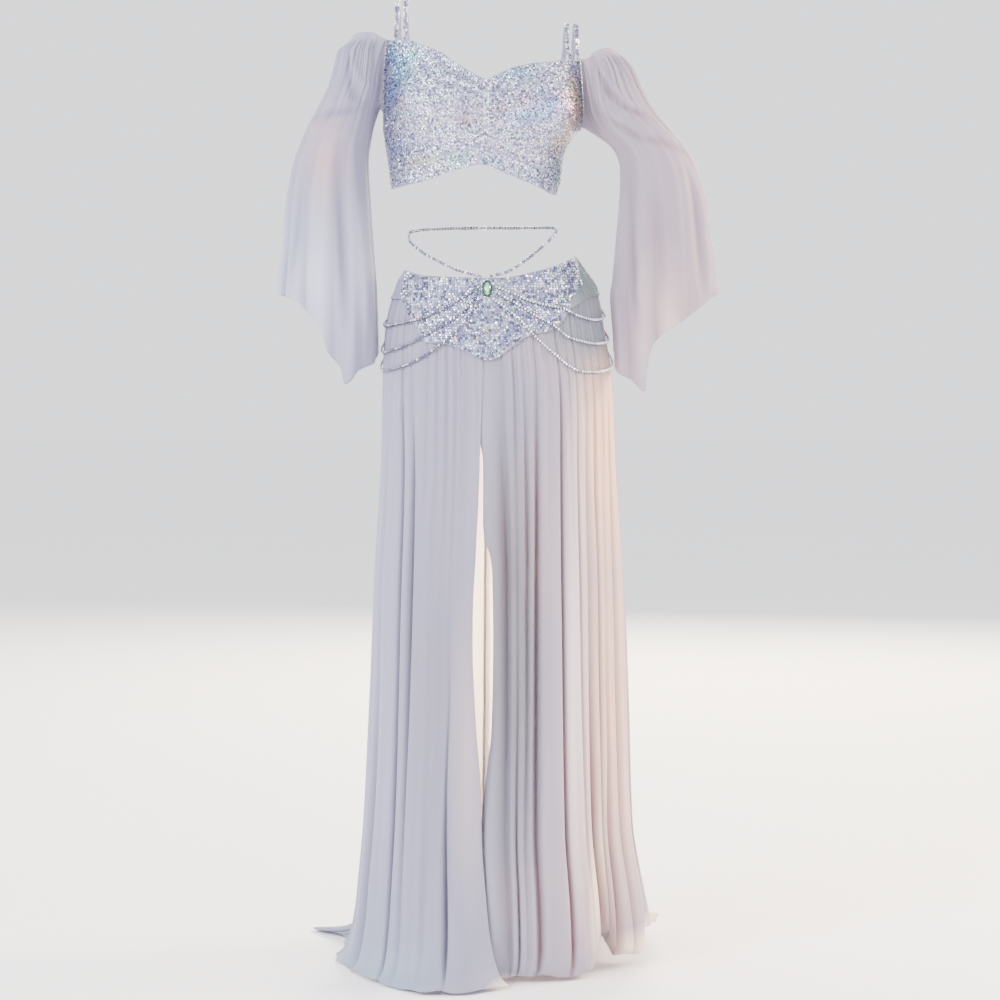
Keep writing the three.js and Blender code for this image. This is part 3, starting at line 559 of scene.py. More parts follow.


# How the chiffon's colour goes: clouds, painted side light, painted shade low down and in folds, threads
CLOUD_SCALE = 5.0
CLOUD_SHARE = 0.5
SIDE_LIGHT_GAIN = 2.0
LOW_GAIN = -2.4
LOW_START = -1.75
LOW_SHADE_SHARE = 0.7
FOLD_SHADE_SHARE = 0.85
THREAD_PITCH = 0.0011
THREAD_SHARE = 0.08
SLUB_SCALE = 240.0
THREAD_DEPTH = 0.0002


def chiffon(name, stops, fold_shade_stops, low_cool_shade, clear, through, zones=()):
    """Sheer stretch mesh: painted cool and warm side light, painted shade low and in folds, a fine weave.
    """
    def build(tree, shader):
        place = place_of(tree)
        axes = node(tree, "ShaderNodeSeparateXYZ")
        tree.links.new(place, axes.inputs[0])
        clouds = maths(tree, "SUBTRACT", noise(tree, place, CLOUD_SCALE, 2.0), 0.5)
        # Painted side light: cooler towards -X, warmer and lighter towards +X
        side = maths(tree, "MULTIPLY_ADD", axes.outputs["X"], SIDE_LIGHT_GAIN, 0.5)
        mixed = maths(tree, "ADD", side, maths(tree, "MULTIPLY", clouds, CLOUD_SHARE))
        colour = ramp(tree, mixed, stops)
        # Painted cool shade, stronger towards the hem
        low = maths(tree, "MULTIPLY_ADD", axes.outputs["Z"], LOW_GAIN, LOW_START)
        low.node.use_clamp = True
        colour = blend(tree, maths(tree, "MULTIPLY", low, LOW_SHADE_SHARE), colour, (*low_cool_shade, 1))
        colour = patched(tree, place, colour, zones)
        # Painted shade: darker the deeper the cloth lies in a fold
        furrow = node(tree, "ShaderNodeAttribute", attribute_name="furrow").outputs["Fac"]
        deep = maths(tree, "MULTIPLY", furrow, FOLD_SHADE_SHARE)
        colour = blend(tree, deep, colour, ramp(tree, mixed, fold_shade_stops))
        uv = node(tree, "ShaderNodeUVMap").outputs[0]
        threads = weave(tree, uv, THREAD_PITCH)
        colour = blend(tree, maths(tree, "MULTIPLY", threads, THREAD_SHARE), colour, (1, 1, 1, 1))
        tree.links.new(colour, shader.inputs["Base Color"])
        slub = noise(tree, uv, SLUB_SCALE, 4.0, 0.6)
        bump(tree, shader, maths(tree, "ADD", threads, slub), 0.25, THREAD_DEPTH)
        set_inputs(shader, Roughness=0.55, Sheen_Weight=0.3, Sheen_Roughness=0.4)
        sheer(tree, shader, through, clear)
    return material(name, build)


def beaded_ground(name, dark, light, zones=()):
    """The cloth that carries the sequins and crystals."""
    def build(tree, shader):
        place = place_of(tree)
        colour = ramp(tree, noise(tree, place, 55.0, 3.0), [(0.35, dark), (0.65, light)])
        colour = patched(tree, place, colour, zones)
        tree.links.new(colour, shader.inputs["Base Color"])
        uv = node(tree, "ShaderNodeUVMap").outputs[0]
        bump(tree, shader, weave(tree, uv, 0.0009), 0.3, 0.0002)
        set_inputs(shader, Roughness=0.5, Metallic=0.15, Sheen_Weight=0.2)
    return material(name, build)


def tinted_stones(name, metallic, rough):
    """Sequins or stones whose colour is held by each of them."""
    def build(tree, shader):
        tint = node(tree, "ShaderNodeAttribute", attribute_name="tint").outputs["Color"]
        speck = noise(tree, place_of(tree), 900.0, 1.0)
        shade = ramp(tree, speck, [(0.3, (0.8, 0.8, 0.84)), (0.7, (1, 1, 1))])
        tree.links.new(blend(tree, 1.0, tint, shade, "MULTIPLY"), shader.inputs["Base Color"])
        set_inputs(shader, Metallic=metallic, Roughness=rough, Specular_IOR_Level=0.9)
    return material(name, build)


def plain_shine(name, colour, dark, metallic, rough):
    def build(tree, shader):
        wear = noise(tree, place_of(tree), 320.0, 3.0)
        tree.links.new(ramp(tree, wear, [(0.3, dark), (0.6, colour)]), shader.inputs["Base Color"])
        set_inputs(shader, Metallic=metallic, Roughness=rough)
    return material(name, build)


def green_glass(tree, shader):
    # Painted light in the stone: light middle, dark green sides, as light through a cut stone looks
    lit_middle = zone(tree, place_of(tree), (0.0004, -0.015), (0.0036, 0.0115))
    greens = [(0.04, (0.02, 0.12, 0.06)), (0.3, (0.12, 0.36, 0.20)), (0.75, (0.50, 0.74, 0.52))]
    colour = ramp(tree, lit_middle, greens)
    tree.links.new(colour, shader.inputs["Base Color"])
    set_inputs(shader, Roughness=0.06, IOR=1.55, Specular_IOR_Level=0.8, Coat_Weight=0.6)


# Skirt tones from -X to +X: the cloth's lilac with painted side light, cool at -X and warm at +X
SKIRT_SIDE_LIT_TONES = [(0.05, (0.28, 0.29, 0.44)), (0.5, (0.31, 0.28, 0.40)), (0.92, (0.50, 0.37, 0.42))]
# Tones of painted shade in the folds, from -X to +X
SKIRT_FOLD_SHADE = [(0.1, (0.12, 0.13, 0.23)), (0.5, (0.14, 0.13, 0.19)), (0.8, (0.32, 0.16, 0.18))]
# Painted cool shade towards the hem
LOW_COOL_SHADE = (0.235, 0.255, 0.37)
# Patch colours: painted warm light twice, a painted highlight, painted cool light, and a plain blue-grey
PEACH_LIGHT = (0.88, 0.58, 0.42)
CREAM_LIGHT = (1.0, 0.89, 0.72)
PALE_HIGHLIGHT = (0.95, 0.80, 0.66)
HEM_COOL_LIGHT = (0.27, 0.34, 0.46)
BLUE_GREY = (0.20, 0.24, 0.31)
skirt_cloth = chiffon("skirt_chiffon", SKIRT_SIDE_LIT_TONES, SKIRT_FOLD_SHADE, LOW_COOL_SHADE, 0.05, 0.22, [
    # painted warm light on the right hip and down the right side
    ((0.172, -0.24), (0.06, 0.2), 1.6, PEACH_LIGHT), ((0.175, -0.62), (0.07, 0.42), 0.9, PEACH_LIGHT),
    # a blue-grey patch at the right hip under the yoke, then painted shade on the middle of the right panel
    ((0.14, -0.035), (0.09, 0.1), 2.2, BLUE_GREY), ((0.035, -0.52), (0.06, 0.42), 1.4, (0.17, 0.16, 0.20)),
    # a darker lilac patch over the left thigh
    ((-0.07, -0.56), (0.08, 0.42), 1.0, (0.22, 0.21, 0.31)),
    # a lighter rosy stripe low on the left panel by the slit
    ((-0.03, -0.68), (0.03, 0.26), 0.9, (0.50, 0.40, 0.45)),
    # painted highlights down two folds of the right panel
    ((0.127, -0.56), (0.022, 0.45), 1.2, (0.80, 0.66, 0.70)), ((0.158, -0.86), (0.014, 0.13), 1.2, PALE_HIGHLIGHT),
    # painted cool light on the left train, then a painted highlight on the curled hem corner by the slit
    ((-0.14, -0.99), (0.1, 0.055), 1.0, HEM_COOL_LIGHT), ((0.026, -1.006), (0.034, 0.02), 1.4, PALE_HIGHLIGHT),
    # a painted highlight on a curl of the hem at the right
    ((0.215, -0.972), (0.045, 0.035), 1.2, PALE_HIGHLIGHT),
])
back_cloth = chiffon("skirt_back_chiffon", SKIRT_SIDE_LIT_TONES, SKIRT_FOLD_SHADE, LOW_COOL_SHADE, 0.03, 0.3, [
    # a painted highlight on a curl of the back's hem
    ((0.24, -0.96), (0.04, 0.035), 1.2, PALE_HIGHLIGHT),
])
# The inside of the back: painted warm light on it where it shows through the slit
back_inside = chiffon("skirt_back_inside", SKIRT_SIDE_LIT_TONES, SKIRT_FOLD_SHADE, LOW_COOL_SHADE, 0.03, 0.6, [
    ((0.0, -0.55), (0.14, 0.45), 3.0, CREAM_LIGHT),
])
# Sleeves: cloth tones with painted side light from cool to warm, and painted shade in the folds
sleeve_cloth = chiffon(
    "sleeve_chiffon", [(0.0, (0.32, 0.33, 0.49)), (0.5, (0.37, 0.33, 0.46)), (1.0, (0.42, 0.34, 0.43))],
    [(0.1, (0.20, 0.20, 0.34)), (0.9, (0.30, 0.20, 0.27))], (0.42, 0.42, 0.53), 0.14, 0.3, [
        ((-0.235, 0.16), (0.05, 0.14), 0.9, (0.62, 0.42, 0.47)),
        ((-0.25, 0.0), (0.12, 0.16), 1.1, (0.62, 0.63, 0.78)),
        # painted warm light on the right sleeve
        ((0.25, -0.05), (0.05, 0.12), 0.9, (0.80, 0.62, 0.58)),
    ],
)
top_ground = beaded_ground("top_ground", (0.24, 0.25, 0.38), (0.36, 0.36, 0.50))
yoke_ground = beaded_ground("yoke_ground", (0.19, 0.21, 0.31), (0.27, 0.29, 0.41), [
    ((0.14, -0.005), (0.055, 0.075), 1.3, (0.13, 0.17, 0.18)),
])
sequin_shine = tinted_stones("sequin_shine", 0.8, 0.24)
crystal_shine = tinted_stones("crystal_shine", 0.6, 0.14)
setting_metal = plain_shine("setting_metal", (0.60, 0.60, 0.66), (0.30, 0.30, 0.36), 1.0, 0.28)
# Dark strands under the hip chains: a real strand, and painted shadow of the chain
shadow_strand = plain_shine("shadow_strand", (0.10, 0.10, 0.17), (0.04, 0.04, 0.08), 0.5, 0.4)
ribbon_cloth = plain_shine("ribbon_cloth", (0.42, 0.42, 0.53), (0.26, 0.26, 0.38), 0.2, 0.4)
rim_metal = plain_shine("rim_metal", (0.05, 0.12, 0.09), (0.02, 0.04, 0.03), 0.8, 0.22)
gem_glass = material("gem_glass", green_glass)


# Skirt

ROW_COUNT = 128
COLUMNS_FOR_A_FOLD = 17
BACK_COLUMNS_FOR_A_FOLD = 10
BACK_ROW_COUNT = 92
STRING_EDGE = 0.02
EDGE_WIDE = 0.35
FOLD_LEAN = 0.35
CREST_SHARE = 0.06
HEM_CALM = 0.7
HEM_FROM = 0.92
ROWS_BUNCHED = 0.05
TOP_REACH = 0.10
DEEPEST_FURROW = 9

# Gathers under the yoke: waves, longest and shortest, height, and the share that they reach down to
GATHER_WAVES = (4, 14, 5.2)
GATHER_HIGH = 0.85
GATHER_REACH = 0.26

# Soft waves further down, calm at a panel's edges
SOFT_WAVES = (4, 95, 26)
EDGE_REACH = 0.35

# The early flare of the right panel fades out round the side
EARLY_END = 75
EARLY_FADE = 35

# Curls of the hem on the floor
CURL_WAVES = (3, 120, 34)
CURL_HIGH = 2.5
CURL_FROM = 0.93

# Creases of the front left panel, and of the right one: the points, half the width and the depth
LEFT_CREASES = creases_of("""
    -47 -121, -54 -157, -57 -200, -60 -285 : 5 -2.4
    -13 -471, -15 -514, -20 -560, -26 -600, -33 -686 : 15 3.6
    -14 -520, -19 -640, -23 -743, -25 -843 : 9 -3.4
    -11 -455, -12 -500, -11 -600 : 8 3.0
    -36 -300, -34 -420, -30 -500, -22 -560 : 12 -2.6
    -42 -330, -40 -460, -39 -560 : 9 2.2
    -18 -560, -24 -680, -30 -800, -34 -900 : 10 2.8
    -70 -430, -68 -640, -66 -860 : 12 2.4
""")
RIGHT_CREASES = creases_of("""
    0 -172, 3 -300, 5 -460, 6 -880 : 5 3.2
    9 -180, 10 -380, 14 -470 : 6 -2.8
    15 -230, 18 -460, 20 -900 : 6 -2.2
    26 -440, 25 -700, 25 -950 : 9 -3.0
    48 -180, 52 -600, 58 -900 : 5 -2.6
    62 -300, 60 -620, 58 -900 : 8 2.4
    74 -350, 76 -640, 78 -860 : 9 2.6
""")
BACK_CREASES = creases_of("""
    -250 -160, -252 -420, -256 -700 : 9 2.6
    -232 -90, -230 -280, -226 -420 : 7 -2.4
    -214 -300, -212 -560, -216 -820 : 12 3.0
    -188 -80, -190 -260, -186 -380 : 7 2.4
    -172 -420, -176 -640, -180 -900 : 11 -3.0
    -158 -120, -155 -330, -150 -480 : 8 2.2
    -136 -260, -138 -520, -146 -800 : 10 2.8
    -118 -90, -116 -260, -118 -440 : 7 -2.2
""")


def shifted(edge, distance):
    """An edge moved round the skirt by a distance."""
    shift = math.degrees(distance / MEAN_SKIRT_RADIUS)
    return {**edge, "phi": edge["phi"] + shift}


def seam_edge(phi, distance):
    """A straight side seam, beside its own line by a distance."""
    return shifted(table("share phi inset", [(0, phi, 1), (1, phi, 1)]), distance)


def furrow_columns(folds):
    for high, middle, low, high_deep, middle_deep, low_deep, _, _ in zip(*folds.values()):
        rows = zip(FOLD_LEVELS, (high, middle, low), (high_deep, middle_deep, low_deep))
        yield table("share phi inset", list(rows))


def back_folds():
    """Furrows of the back, uneven in place, depth and width, and calmer at the train's corner."""
    rows = []
    for k in range(1, BACK_FOLDS + 1):
        share = (k + BACK_FOLD_UNEVEN * math.sin(k * 2.4)) / (BACK_FOLDS + 1)
        start = RIGHT_SEAM - 360
        phi = start + (LEFT_SEAM - start) * share
        deep = 1 + BACK_DEPTH_UNEVEN * math.sin(k * 4.1)
        high, middle, low = (depth * deep for depth in BACK_FOLD_DEPTH)
        low *= 1 - CORNER_CALM * math.exp(-((phi - TRAIN_CORNER) / CORNER_REACH) ** 2)
        wide = BACK_FOLD_WIDE[0] + BACK_FOLD_WIDE[1] * math.sin(k * 1.7)
        sharp = BACK_FOLD_SHARP[0] + BACK_FOLD_SHARP[1] * math.sin(k * 2.9)
        rows.append((phi, phi, phi, high, middle, low, wide, sharp))
    return table(FOLD_NAMES, rows)


def furrow_shape(away, sharp):
    """How deep a furrow is beside its middle: a soft bell, or a crease where it is sharp."""
    away = np.clip(away, 0, 1)
    return sharp * (1 - away) ** 1.7 + (1 - sharp) * 0.5 * (1 + np.cos(math.pi * away))


def skirt_grid(furrows, folds, hem, creases, rows, columns_each, early, rng):
    """The panel's outer face: furrows with round crests, gathers under the yoke and creases."""
    share = np.linspace(0, 1, rows)
    share = share - ROWS_BUNCHED * np.sin(2 * math.pi * share) / (2 * math.pi)
    u = np.linspace(0, len(furrows) - 1, (len(furrows) - 1) * columns_each + 1)
    k = np.minimum(u.astype(int), len(furrows) - 2)
    t = u - k
    phi_at = np.stack([read(furrow, "phi", share) for furrow in furrows], axis=1)
    deep_at = np.stack([read(furrow, "inset", share) for furrow in furrows], axis=1)
    phi = phi_at[:, k] * (1 - t) + phi_at[:, k + 1] * t
    wide = np.concatenate([[EDGE_WIDE], folds["wide"], [EDGE_WIDE]])
    sharp = np.concatenate([[0.5], folds["sharp"], [0.5]])
    lean = rng.uniform(-FOLD_LEAN, FOLD_LEAN, len(furrows))
    before = furrow_shape(t / (wide[k] * (1 + lean[k])), sharp[k])
    after = furrow_shape((1 - t) / (wide[k + 1] * (1 - lean[k + 1])), sharp[k + 1])
    inset = deep_at[:, k] * before + deep_at[:, k + 1] * after
    inset -= CREST_SHARE * np.minimum(deep_at[:, k], deep_at[:, k + 1]) * np.sin(math.pi * t)
    down = share[:, None]
    lying = np.clip((down - HEM_FROM) / (1 - HEM_FROM), 0, 1)
    inset *= 1 - HEM_CALM * lying
    at_top = np.exp(-((down / TOP_REACH) ** 2))
    inset += CREST_UNDER_YOKE * at_top * (1 - np.maximum(before, after))
    depth = np.clip(inset / DEEPEST_FURROW, 0, 1)
    around = phi * math.radians(1) * MEAN_SKIRT_RADIUS
    gathers = ripple(around + 5 * down, rng, *GATHER_WAVES)
    fading = np.exp(-((down / GATHER_REACH) ** 2))
    loose = GATHER_HIGH * gathers * fading * np.clip(down / STRING_EDGE, 0, 1)
    waves = ripple(around + 60 * down, rng, *SOFT_WAVES)
    loose = loose + (0.35 + 1.1 * down) * waves * (0.4 + 0.6 * down)
    inset += loose * (0.25 + 0.75 * np.clip(np.minimum(u, u[-1] - u) / EDGE_REACH, 0, 1))
    wrapped = np.where(phi < -180, phi + 360, phi)
    top = read(YOKE_BOTTOM, "z", wrapped) + TUCK_UNDER_YOKE
    hem_z = FLOOR_Z + read(hem, "lift", phi)
    z = top + (hem_z - top) * read(SKIRT_ROWS, "drop", down)
    for points, wide, deep in creases:
        inset += soft_line(phi, z, points, wide, deep, MEAN_SKIRT_RADIUS)
    hang = on_section(SKIRT_SECTIONS, phi, z, -inset)
    angle = np.radians(phi)
    fallen = np.stack([
        read(hem, "x", phi) - inset * np.sin(angle),
        read(hem, "y", phi) + inset * np.cos(angle),
        z,
    ], axis=-1)
    late = read(SKIRT_ROWS, "spread", down)
    sooner = np.maximum(read(EARLY_SPREAD, "spread", down) - late, 0)
    spread = late + early * sooner * np.clip((EARLY_END - phi) / EARLY_FADE, 0, 1)
    grid = hang * (1 - spread[..., None]) + fallen * spread[..., None]
    curled = np.clip((down - CURL_FROM) / (1 - CURL_FROM), 0, 1) ** 2
    curl = CURL_HIGH * (1 + ripple(around, rng, *CURL_WAVES)) * curled
    grid[..., 2] += np.maximum(curl, 0)
    return grid, depth


def skirt_piece(name, edges, folds, hem, creases, cloths, rows, columns_each, seed, early=0):
    furrows = [edges[0], *furrow_columns(folds), edges[1]]
    grid, depth = skirt_grid(furrows, folds, hem, creases, rows, columns_each, early, seeded(seed))
    mesh = sheet_mesh(name, grid, furrow=depth)
    piece = add_piece(name, mesh, cloths, "chiffon", [name], CHIFFON_THICK)


def make_skirt():
    skirt_piece(
        "skirt_front_left",
        (seam_edge(LEFT_SEAM, SEAM_GAP / 2), SLIT_LEFT),
        LEFT_FOLDS, HEM_OUTER, LEFT_CREASES, [skirt_cloth], ROW_COUNT, COLUMNS_FOR_A_FOLD,
        1,
    )
    skirt_piece(
        "skirt_front_right",
        (shifted(SLIT_RIGHT, SEAM_GAP), seam_edge(RIGHT_SEAM, -SEAM_GAP / 2)),
        RIGHT_FOLDS, HEM_RIGHT, RIGHT_CREASES, [skirt_cloth], ROW_COUNT, COLUMNS_FOR_A_FOLD,
        2, early=1,
    )
    skirt_piece(
        "skirt_back",
        (seam_edge(RIGHT_SEAM - 360, SEAM_GAP / 2), seam_edge(LEFT_SEAM, -SEAM_GAP / 2)),
        back_folds(), HEM_OUTER, BACK_CREASES, [back_cloth, back_inside],
        BACK_ROW_COUNT, BACK_COLUMNS_FOR_A_FOLD,
        3,
    )


# Yoke

YOKE_ROWS = 26
GATHER_PITCH = 5.5
RUCHE_FADE = 6
RUCHE_LEAN = 6
RUCHE_HIGH = 0.9
RUCHE_PROUD = 0.6

# The yoke's panels: first and last bearing, columns, flat size and what lies under each
YOKE_PANELS = {
    "yoke_front": (-90, 90, 300, (0.45, 0.075), ["skirt_front_left", "skirt_front_right"]),
    "yoke_back_left": (-180, -90, 150, (0.22, 0.042), ["skirt_back"]),
    "yoke_back_right": (90, 180, 150, (0.22, 0.052), ["skirt_back"]),
}


def make_yoke():
    rng = seeded(4)
    for name, (start, end, columns, flat, under) in YOKE_PANELS.items():
        phi = np.linspace(start + HALF_SEAM, end - HALF_SEAM, columns)[None, :]
        share = np.linspace(0, 1, YOKE_ROWS)[:, None]
        top = read(YOKE_TOP, "z", phi)
        z = top + (read(YOKE_BOTTOM, "z", phi) - top) * share
        plain = np.maximum(
            np.clip((read(CRYSTALS_LEFT, "phi", z) - phi) / RUCHE_FADE, 0, 1),
            np.clip((phi - read(CRYSTALS_RIGHT, "phi", z)) / RUCHE_FADE, 0, 1),
        )
        around = np.radians(phi) * MEAN_SKIRT_RADIUS
        leaning = around + RUCHE_LEAN * np.sin(share * 3)
        ruche = ripple(leaning, rng, 3, 1.7 * GATHER_PITCH, GATHER_PITCH)
        proud = plain * (RUCHE_HIGH * ruche * np.sin(math.pi * np.clip(share, 0.06, 1)) + RUCHE_PROUD)
        mesh = sheet_mesh(name, on_yoke(phi, z, proud))
        piece = add_piece(name, mesh, [yoke_ground], "yoke_cloth", [name], BEADED_THICK)
        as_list(under)


# Small things set on a surface, all of one kind joined to one mesh

# A sequin is a shallow dome, and a crystal has a flat table on a faceted crown: outline, sides and top
SEQUIN = ([(1.0, 0.0)], 6, 0.22)
CROWN = ([(1.0, 0.0), (0.86, 0.45), (0.48, 0.8)], 8, 0.82)
SETTING_LEVELS = (-0.55, 0.12)
UP = np.array([0.0, 0.0, 1.0])


def stones_mesh(name, centres, outs, ups, sizes, cut, shades, rng=None, setting=0.0):
    """Turned stones at given places: rings of the profile and a middle point, flat shaded."""
    levels, sides, top = cut
    count = len(centres)
    outs = unit(outs)
    side = unit(np.cross(ups, outs))
    up = np.cross(outs, side)
    turn = np.zeros(count) if rng is None else rng.uniform(0, math.pi, count)
    angle = np.arange(sides) * 2 * math.pi / sides
    spots = angle[None, :] + turn[:, None]
    flat = side[:, None, :] * np.cos(spots)[..., None] + up[:, None, :] * np.sin(spots)[..., None]
    rings = []
    if setting:
        levels = [(setting, height) for height in SETTING_LEVELS] + levels
    for radius, height in levels:
        rise = outs[:, None, :] * (height * sizes)[:, None, None]
        rings.append(centres[:, None, :] + flat * (radius * sizes)[:, None, None] + rise)
    middle = centres + outs * (top * sizes)[:, None]
    each = len(levels) * sides + 1
    points = np.concatenate([np.stack(rings, axis=1).reshape(count, -1, 3), middle[:, None, :]], axis=1)
    faces = []
    slots = []
    for level in range(len(levels) - 1):
        for k in range(sides):
            a, b = level * sides + k, level * sides + (k + 1) % sides
            faces.append((a, b, b + sides, a + sides))
            slots.append(1 if setting and level < 2 else 0)
    last = (len(levels) - 1) * sides
    quads = np.array(faces, int).reshape(-1, 4)
    fans = np.array([(last + k, last + (k + 1) % sides, each - 1) for k in range(sides)], int)
    offsets = (np.arange(count) * each)[:, None, None]
    polygons = (quads[None] + offsets).reshape(-1, 4).tolist() if len(quads) else []
    polygons += (fans[None] + offsets).reshape(-1, 3).tolist()
    mesh = bpy.data.meshes.new(name)
    mesh.from_pydata((points.reshape(-1, 3) * MM).tolist(), [], polygons)
    tint = mesh.attributes.new("tint", "FLOAT_COLOR", "POINT")
    colours = np.repeat(np.concatenate([shades, np.ones((count, 1))], axis=1), each, axis=0)
    tint.data.foreach_set("color", colours.ravel())
    if setting:
        mesh.polygons.foreach_set("material_index", slots * count + [0] * (sides * count))
    return mesh


def shades_for(count, rng, palette):
    """A seeded colour for each stone, drawn from a palette of share and colour."""
    shares = np.array([share for share, _ in palette])
    colours = np.array([colour for _, colour in palette])
    picks = rng.choice(len(palette), size=count, p=shares / shares.sum())
    return np.clip(colours[picks] * rng.uniform(0.85, 1.12, (count, 1)), 0, 1)


# Palettes of share and colour: each stone's own tone, with the white share as painted glints
SEQUIN_PALETTE = [
    (0.20, (0.13, 0.13, 0.24)), (0.26, (0.34, 0.35, 0.52)), (0.26, (0.58, 0.60, 0.76)),
    (0.20, (1.0, 1.0, 1.0)), (0.04, (0.40, 0.82, 0.90)), (0.04, (1.0, 0.60, 0.72)),
]
CRYSTAL_PALETTE = [
    (0.22, (0.11, 0.11, 0.22)), (0.30, (0.30, 0.31, 0.50)), (0.22, (0.56, 0.58, 0.78)),
    (0.22, (1.0, 1.0, 1.0)), (0.02, (1.0, 0.66, 0.50)), (0.02, (0.50, 0.88, 0.76)),
]
CHAIN_PALETTE = [(0.2, (0.45, 0.46, 0.56)), (0.3, (0.80, 0.82, 0.90)), (0.5, (1.0, 1.0, 1.0))]
STRING_PALETTE = [(0.45, (0.20, 0.20, 0.32)), (0.3, (0.42, 0.43, 0.56)), (0.25, (1.0, 1.0, 1.0))]

# Painted iridescent reflections on the holographic sequins, as soft patches: bearing, height, reach and
# tint
SEQUIN_REFLECTION_PATCHES = [
    (-50, 296, 13, 26, (0.40, 0.92, 0.98)), (-64, 318, 10, 18, (0.36, 0.72, 1.0)),
    (-44, 318, 7, 10, (0.56, 1.0, 0.72)), (-62, 262, 13, 24, (0.42, 0.58, 1.0)),
    (-48, 250, 9, 9, (1.0, 0.66, 0.68)), (-80, 300, 8, 14, (0.80, 0.62, 0.92)),
    (-9, 224, 4, 14, (1.0, 0.62, 0.58)), (2, 236, 3, 12, (1.0, 0.72, 0.76)),
    (58, 268, 7, 22, (1.0, 0.76, 0.42)), (64, 240, 7, 30, (1.0, 0.86, 0.44)),
    (54, 226, 7, 26, (1.0, 0.66, 0.50)), (46, 252, 6, 16, (1.0, 0.60, 0.62)),
    (62, 196, 9, 20, (1.0, 0.82, 0.50)), (76, 150, 16, 24, (0.30, 0.56, 0.50)),
    (80, 250, 8, 44, (0.52, 0.62, 0.50)), (20, 290, 13, 9, (0.46, 0.90, 0.92)),
    (22, 250, 5, 12, (1.0, 0.62, 0.68)), (10, 240, 4, 8, (1.0, 0.70, 0.70)),
    (36, 246, 9, 16, (0.50, 0.68, 1.0)), (24, 228, 10, 12, (0.56, 0.76, 1.0)),
    (-40, 166, 22, 12, (0.92, 0.94, 0.62)), (-12, 168, 9, 10, (0.62, 0.96, 0.82)),
    (-64, 180, 20, 26, (0.70, 0.74, 1.0)), (14, 160, 8, 10, (0.72, 0.86, 1.0)),
    (40, 150, 12, 12, (0.72, 0.84, 0.94)),
]


def surface_spots(point_at, start, end, low, high, pitch, keep, rng, jitter=0.22):
    """Places spread evenly over a surface of bearing and height, in staggered rows."""
    phis = []
    heights = []
    fine = np.linspace(start, end, 1200)
    for row, z in enumerate(np.arange(low, high, pitch * STAGGERED_ROWS)):
        run = run_of(point_at(fine, np.full_like(fine, z)))
        stops = np.arange(pitch * (0.5 + 0.5 * (row % 2)), run[-1], pitch)
        phis.append(np.interp(stops, run, fine))
        heights.append(np.full(len(stops), z))
    phi = np.concatenate(phis)
    z = np.concatenate(heights)
    phi = phi + rng.normal(0, jitter * pitch * 0.45, len(phi))
    z = z + rng.normal(0, jitter * pitch, len(z))
    kept = keep(phi, z)
    return phi[kept], z[kept]


def normals_of(point_at, phi, z):
    ahead = point_at(phi + 0.4, z) - point_at(phi - 0.4, z)
    above = point_at(phi, z + 0.6) - point_at(phi, z - 0.6)
    return unit(np.cross(ahead, above))


def tilted(outs, rng, spread):
    return unit(outs + rng.normal(0, spread, outs.shape))


STAGGERED_ROWS = 0.87
SEQUIN_PITCH = 2.75
SEQUIN_RADIUS = 1.5
SEQUIN_LIFT = 0.55
SEQUIN_TILT = 0.2
EDGE_MARGIN = 1.0

# Soft folds of the cups: how far round they reach, the height they spread from, their height and number
CUP_REACH = 60
CUP_LEVEL = 222
CUP_FOLD_HIGH = 1.5
CUP_FOLDS = 9


def ruched(phi, z):
    """How far the gathered cloth of the cups stands out: soft folds that spread from the middle."""
    away = (phi - FRONT_MIDDLE) / CUP_REACH
    fan = (z - CUP_LEVEL) / (16 + 40 * np.abs(away))
    strength = CUP_FOLD_HIGH * np.exp(-(away / 0.55) ** 2) * np.clip(np.abs(away) / 0.05, 0, 1)
    return strength * np.sin(fan * CUP_FOLDS + 1.2 * np.sin(phi * 0.21))


def top_surface(phi, z, proud=0.0):
    return bust_point(phi, z, ruched(phi, z) + proud)


def sewn_on(name, surface, phi, z, shades, rng, tilt, size_of, cut, look, slot):
    """Sequins or crystals sewn to given places of a surface."""
    outs = tilted(normals_of(surface, phi, z), rng, tilt)
    ups = np.tile(UP, (len(phi), 1))
    sizes = size_of(len(phi))
    mesh = stones_mesh(name, surface(phi, z), outs, ups, sizes, cut, shades, rng)
    add_piece(name, mesh, [look], slot)


def sequins_on(name, surface, phi, z, shades, rng, size_of):
    kind = (SEQUIN_TILT, size_of, SEQUIN, sequin_shine, "sequin_cloth")
    sewn_on(name, surface, phi, z, shades, rng, *kind)


def sequin_cover(name, start, end, low_of, high_of, seed, proud=SEQUIN_LIFT):
    rng = seeded(seed)
    surface = lambda phi, z: top_surface(phi, z, proud)

    def keep(phi, z):
        inside = (phi > start + 0.5) & (phi < end - 0.5)
        return inside & (z > low_of(phi) + EDGE_MARGIN) & (z < high_of(phi) - EDGE_MARGIN)

    ends = np.linspace(start, end, 200)
    low, high = low_of(ends).min(), high_of(ends).max()
    phi, z = surface_spots(surface, start, end, low, high, SEQUIN_PITCH, keep, rng)
    shades = shades_for(len(phi), rng, SEQUIN_PALETTE)
    # Painted iridescent reflections: patches of tint over the sequins
    for patch_phi, patch_z, wide, tall, tint in SEQUIN_REFLECTION_PATCHES:
        near = np.exp(-((phi - patch_phi) / wide) ** 2 - ((z - patch_z) / tall) ** 2)[:, None]
        shades *= 1 - near * (1 - np.array(tint))
    size_of = lambda count: SEQUIN_RADIUS * rng.uniform(0.85, 1.12, count)
    sequins_on(name, surface, phi, z, shades, rng, size_of)


# Beaded top


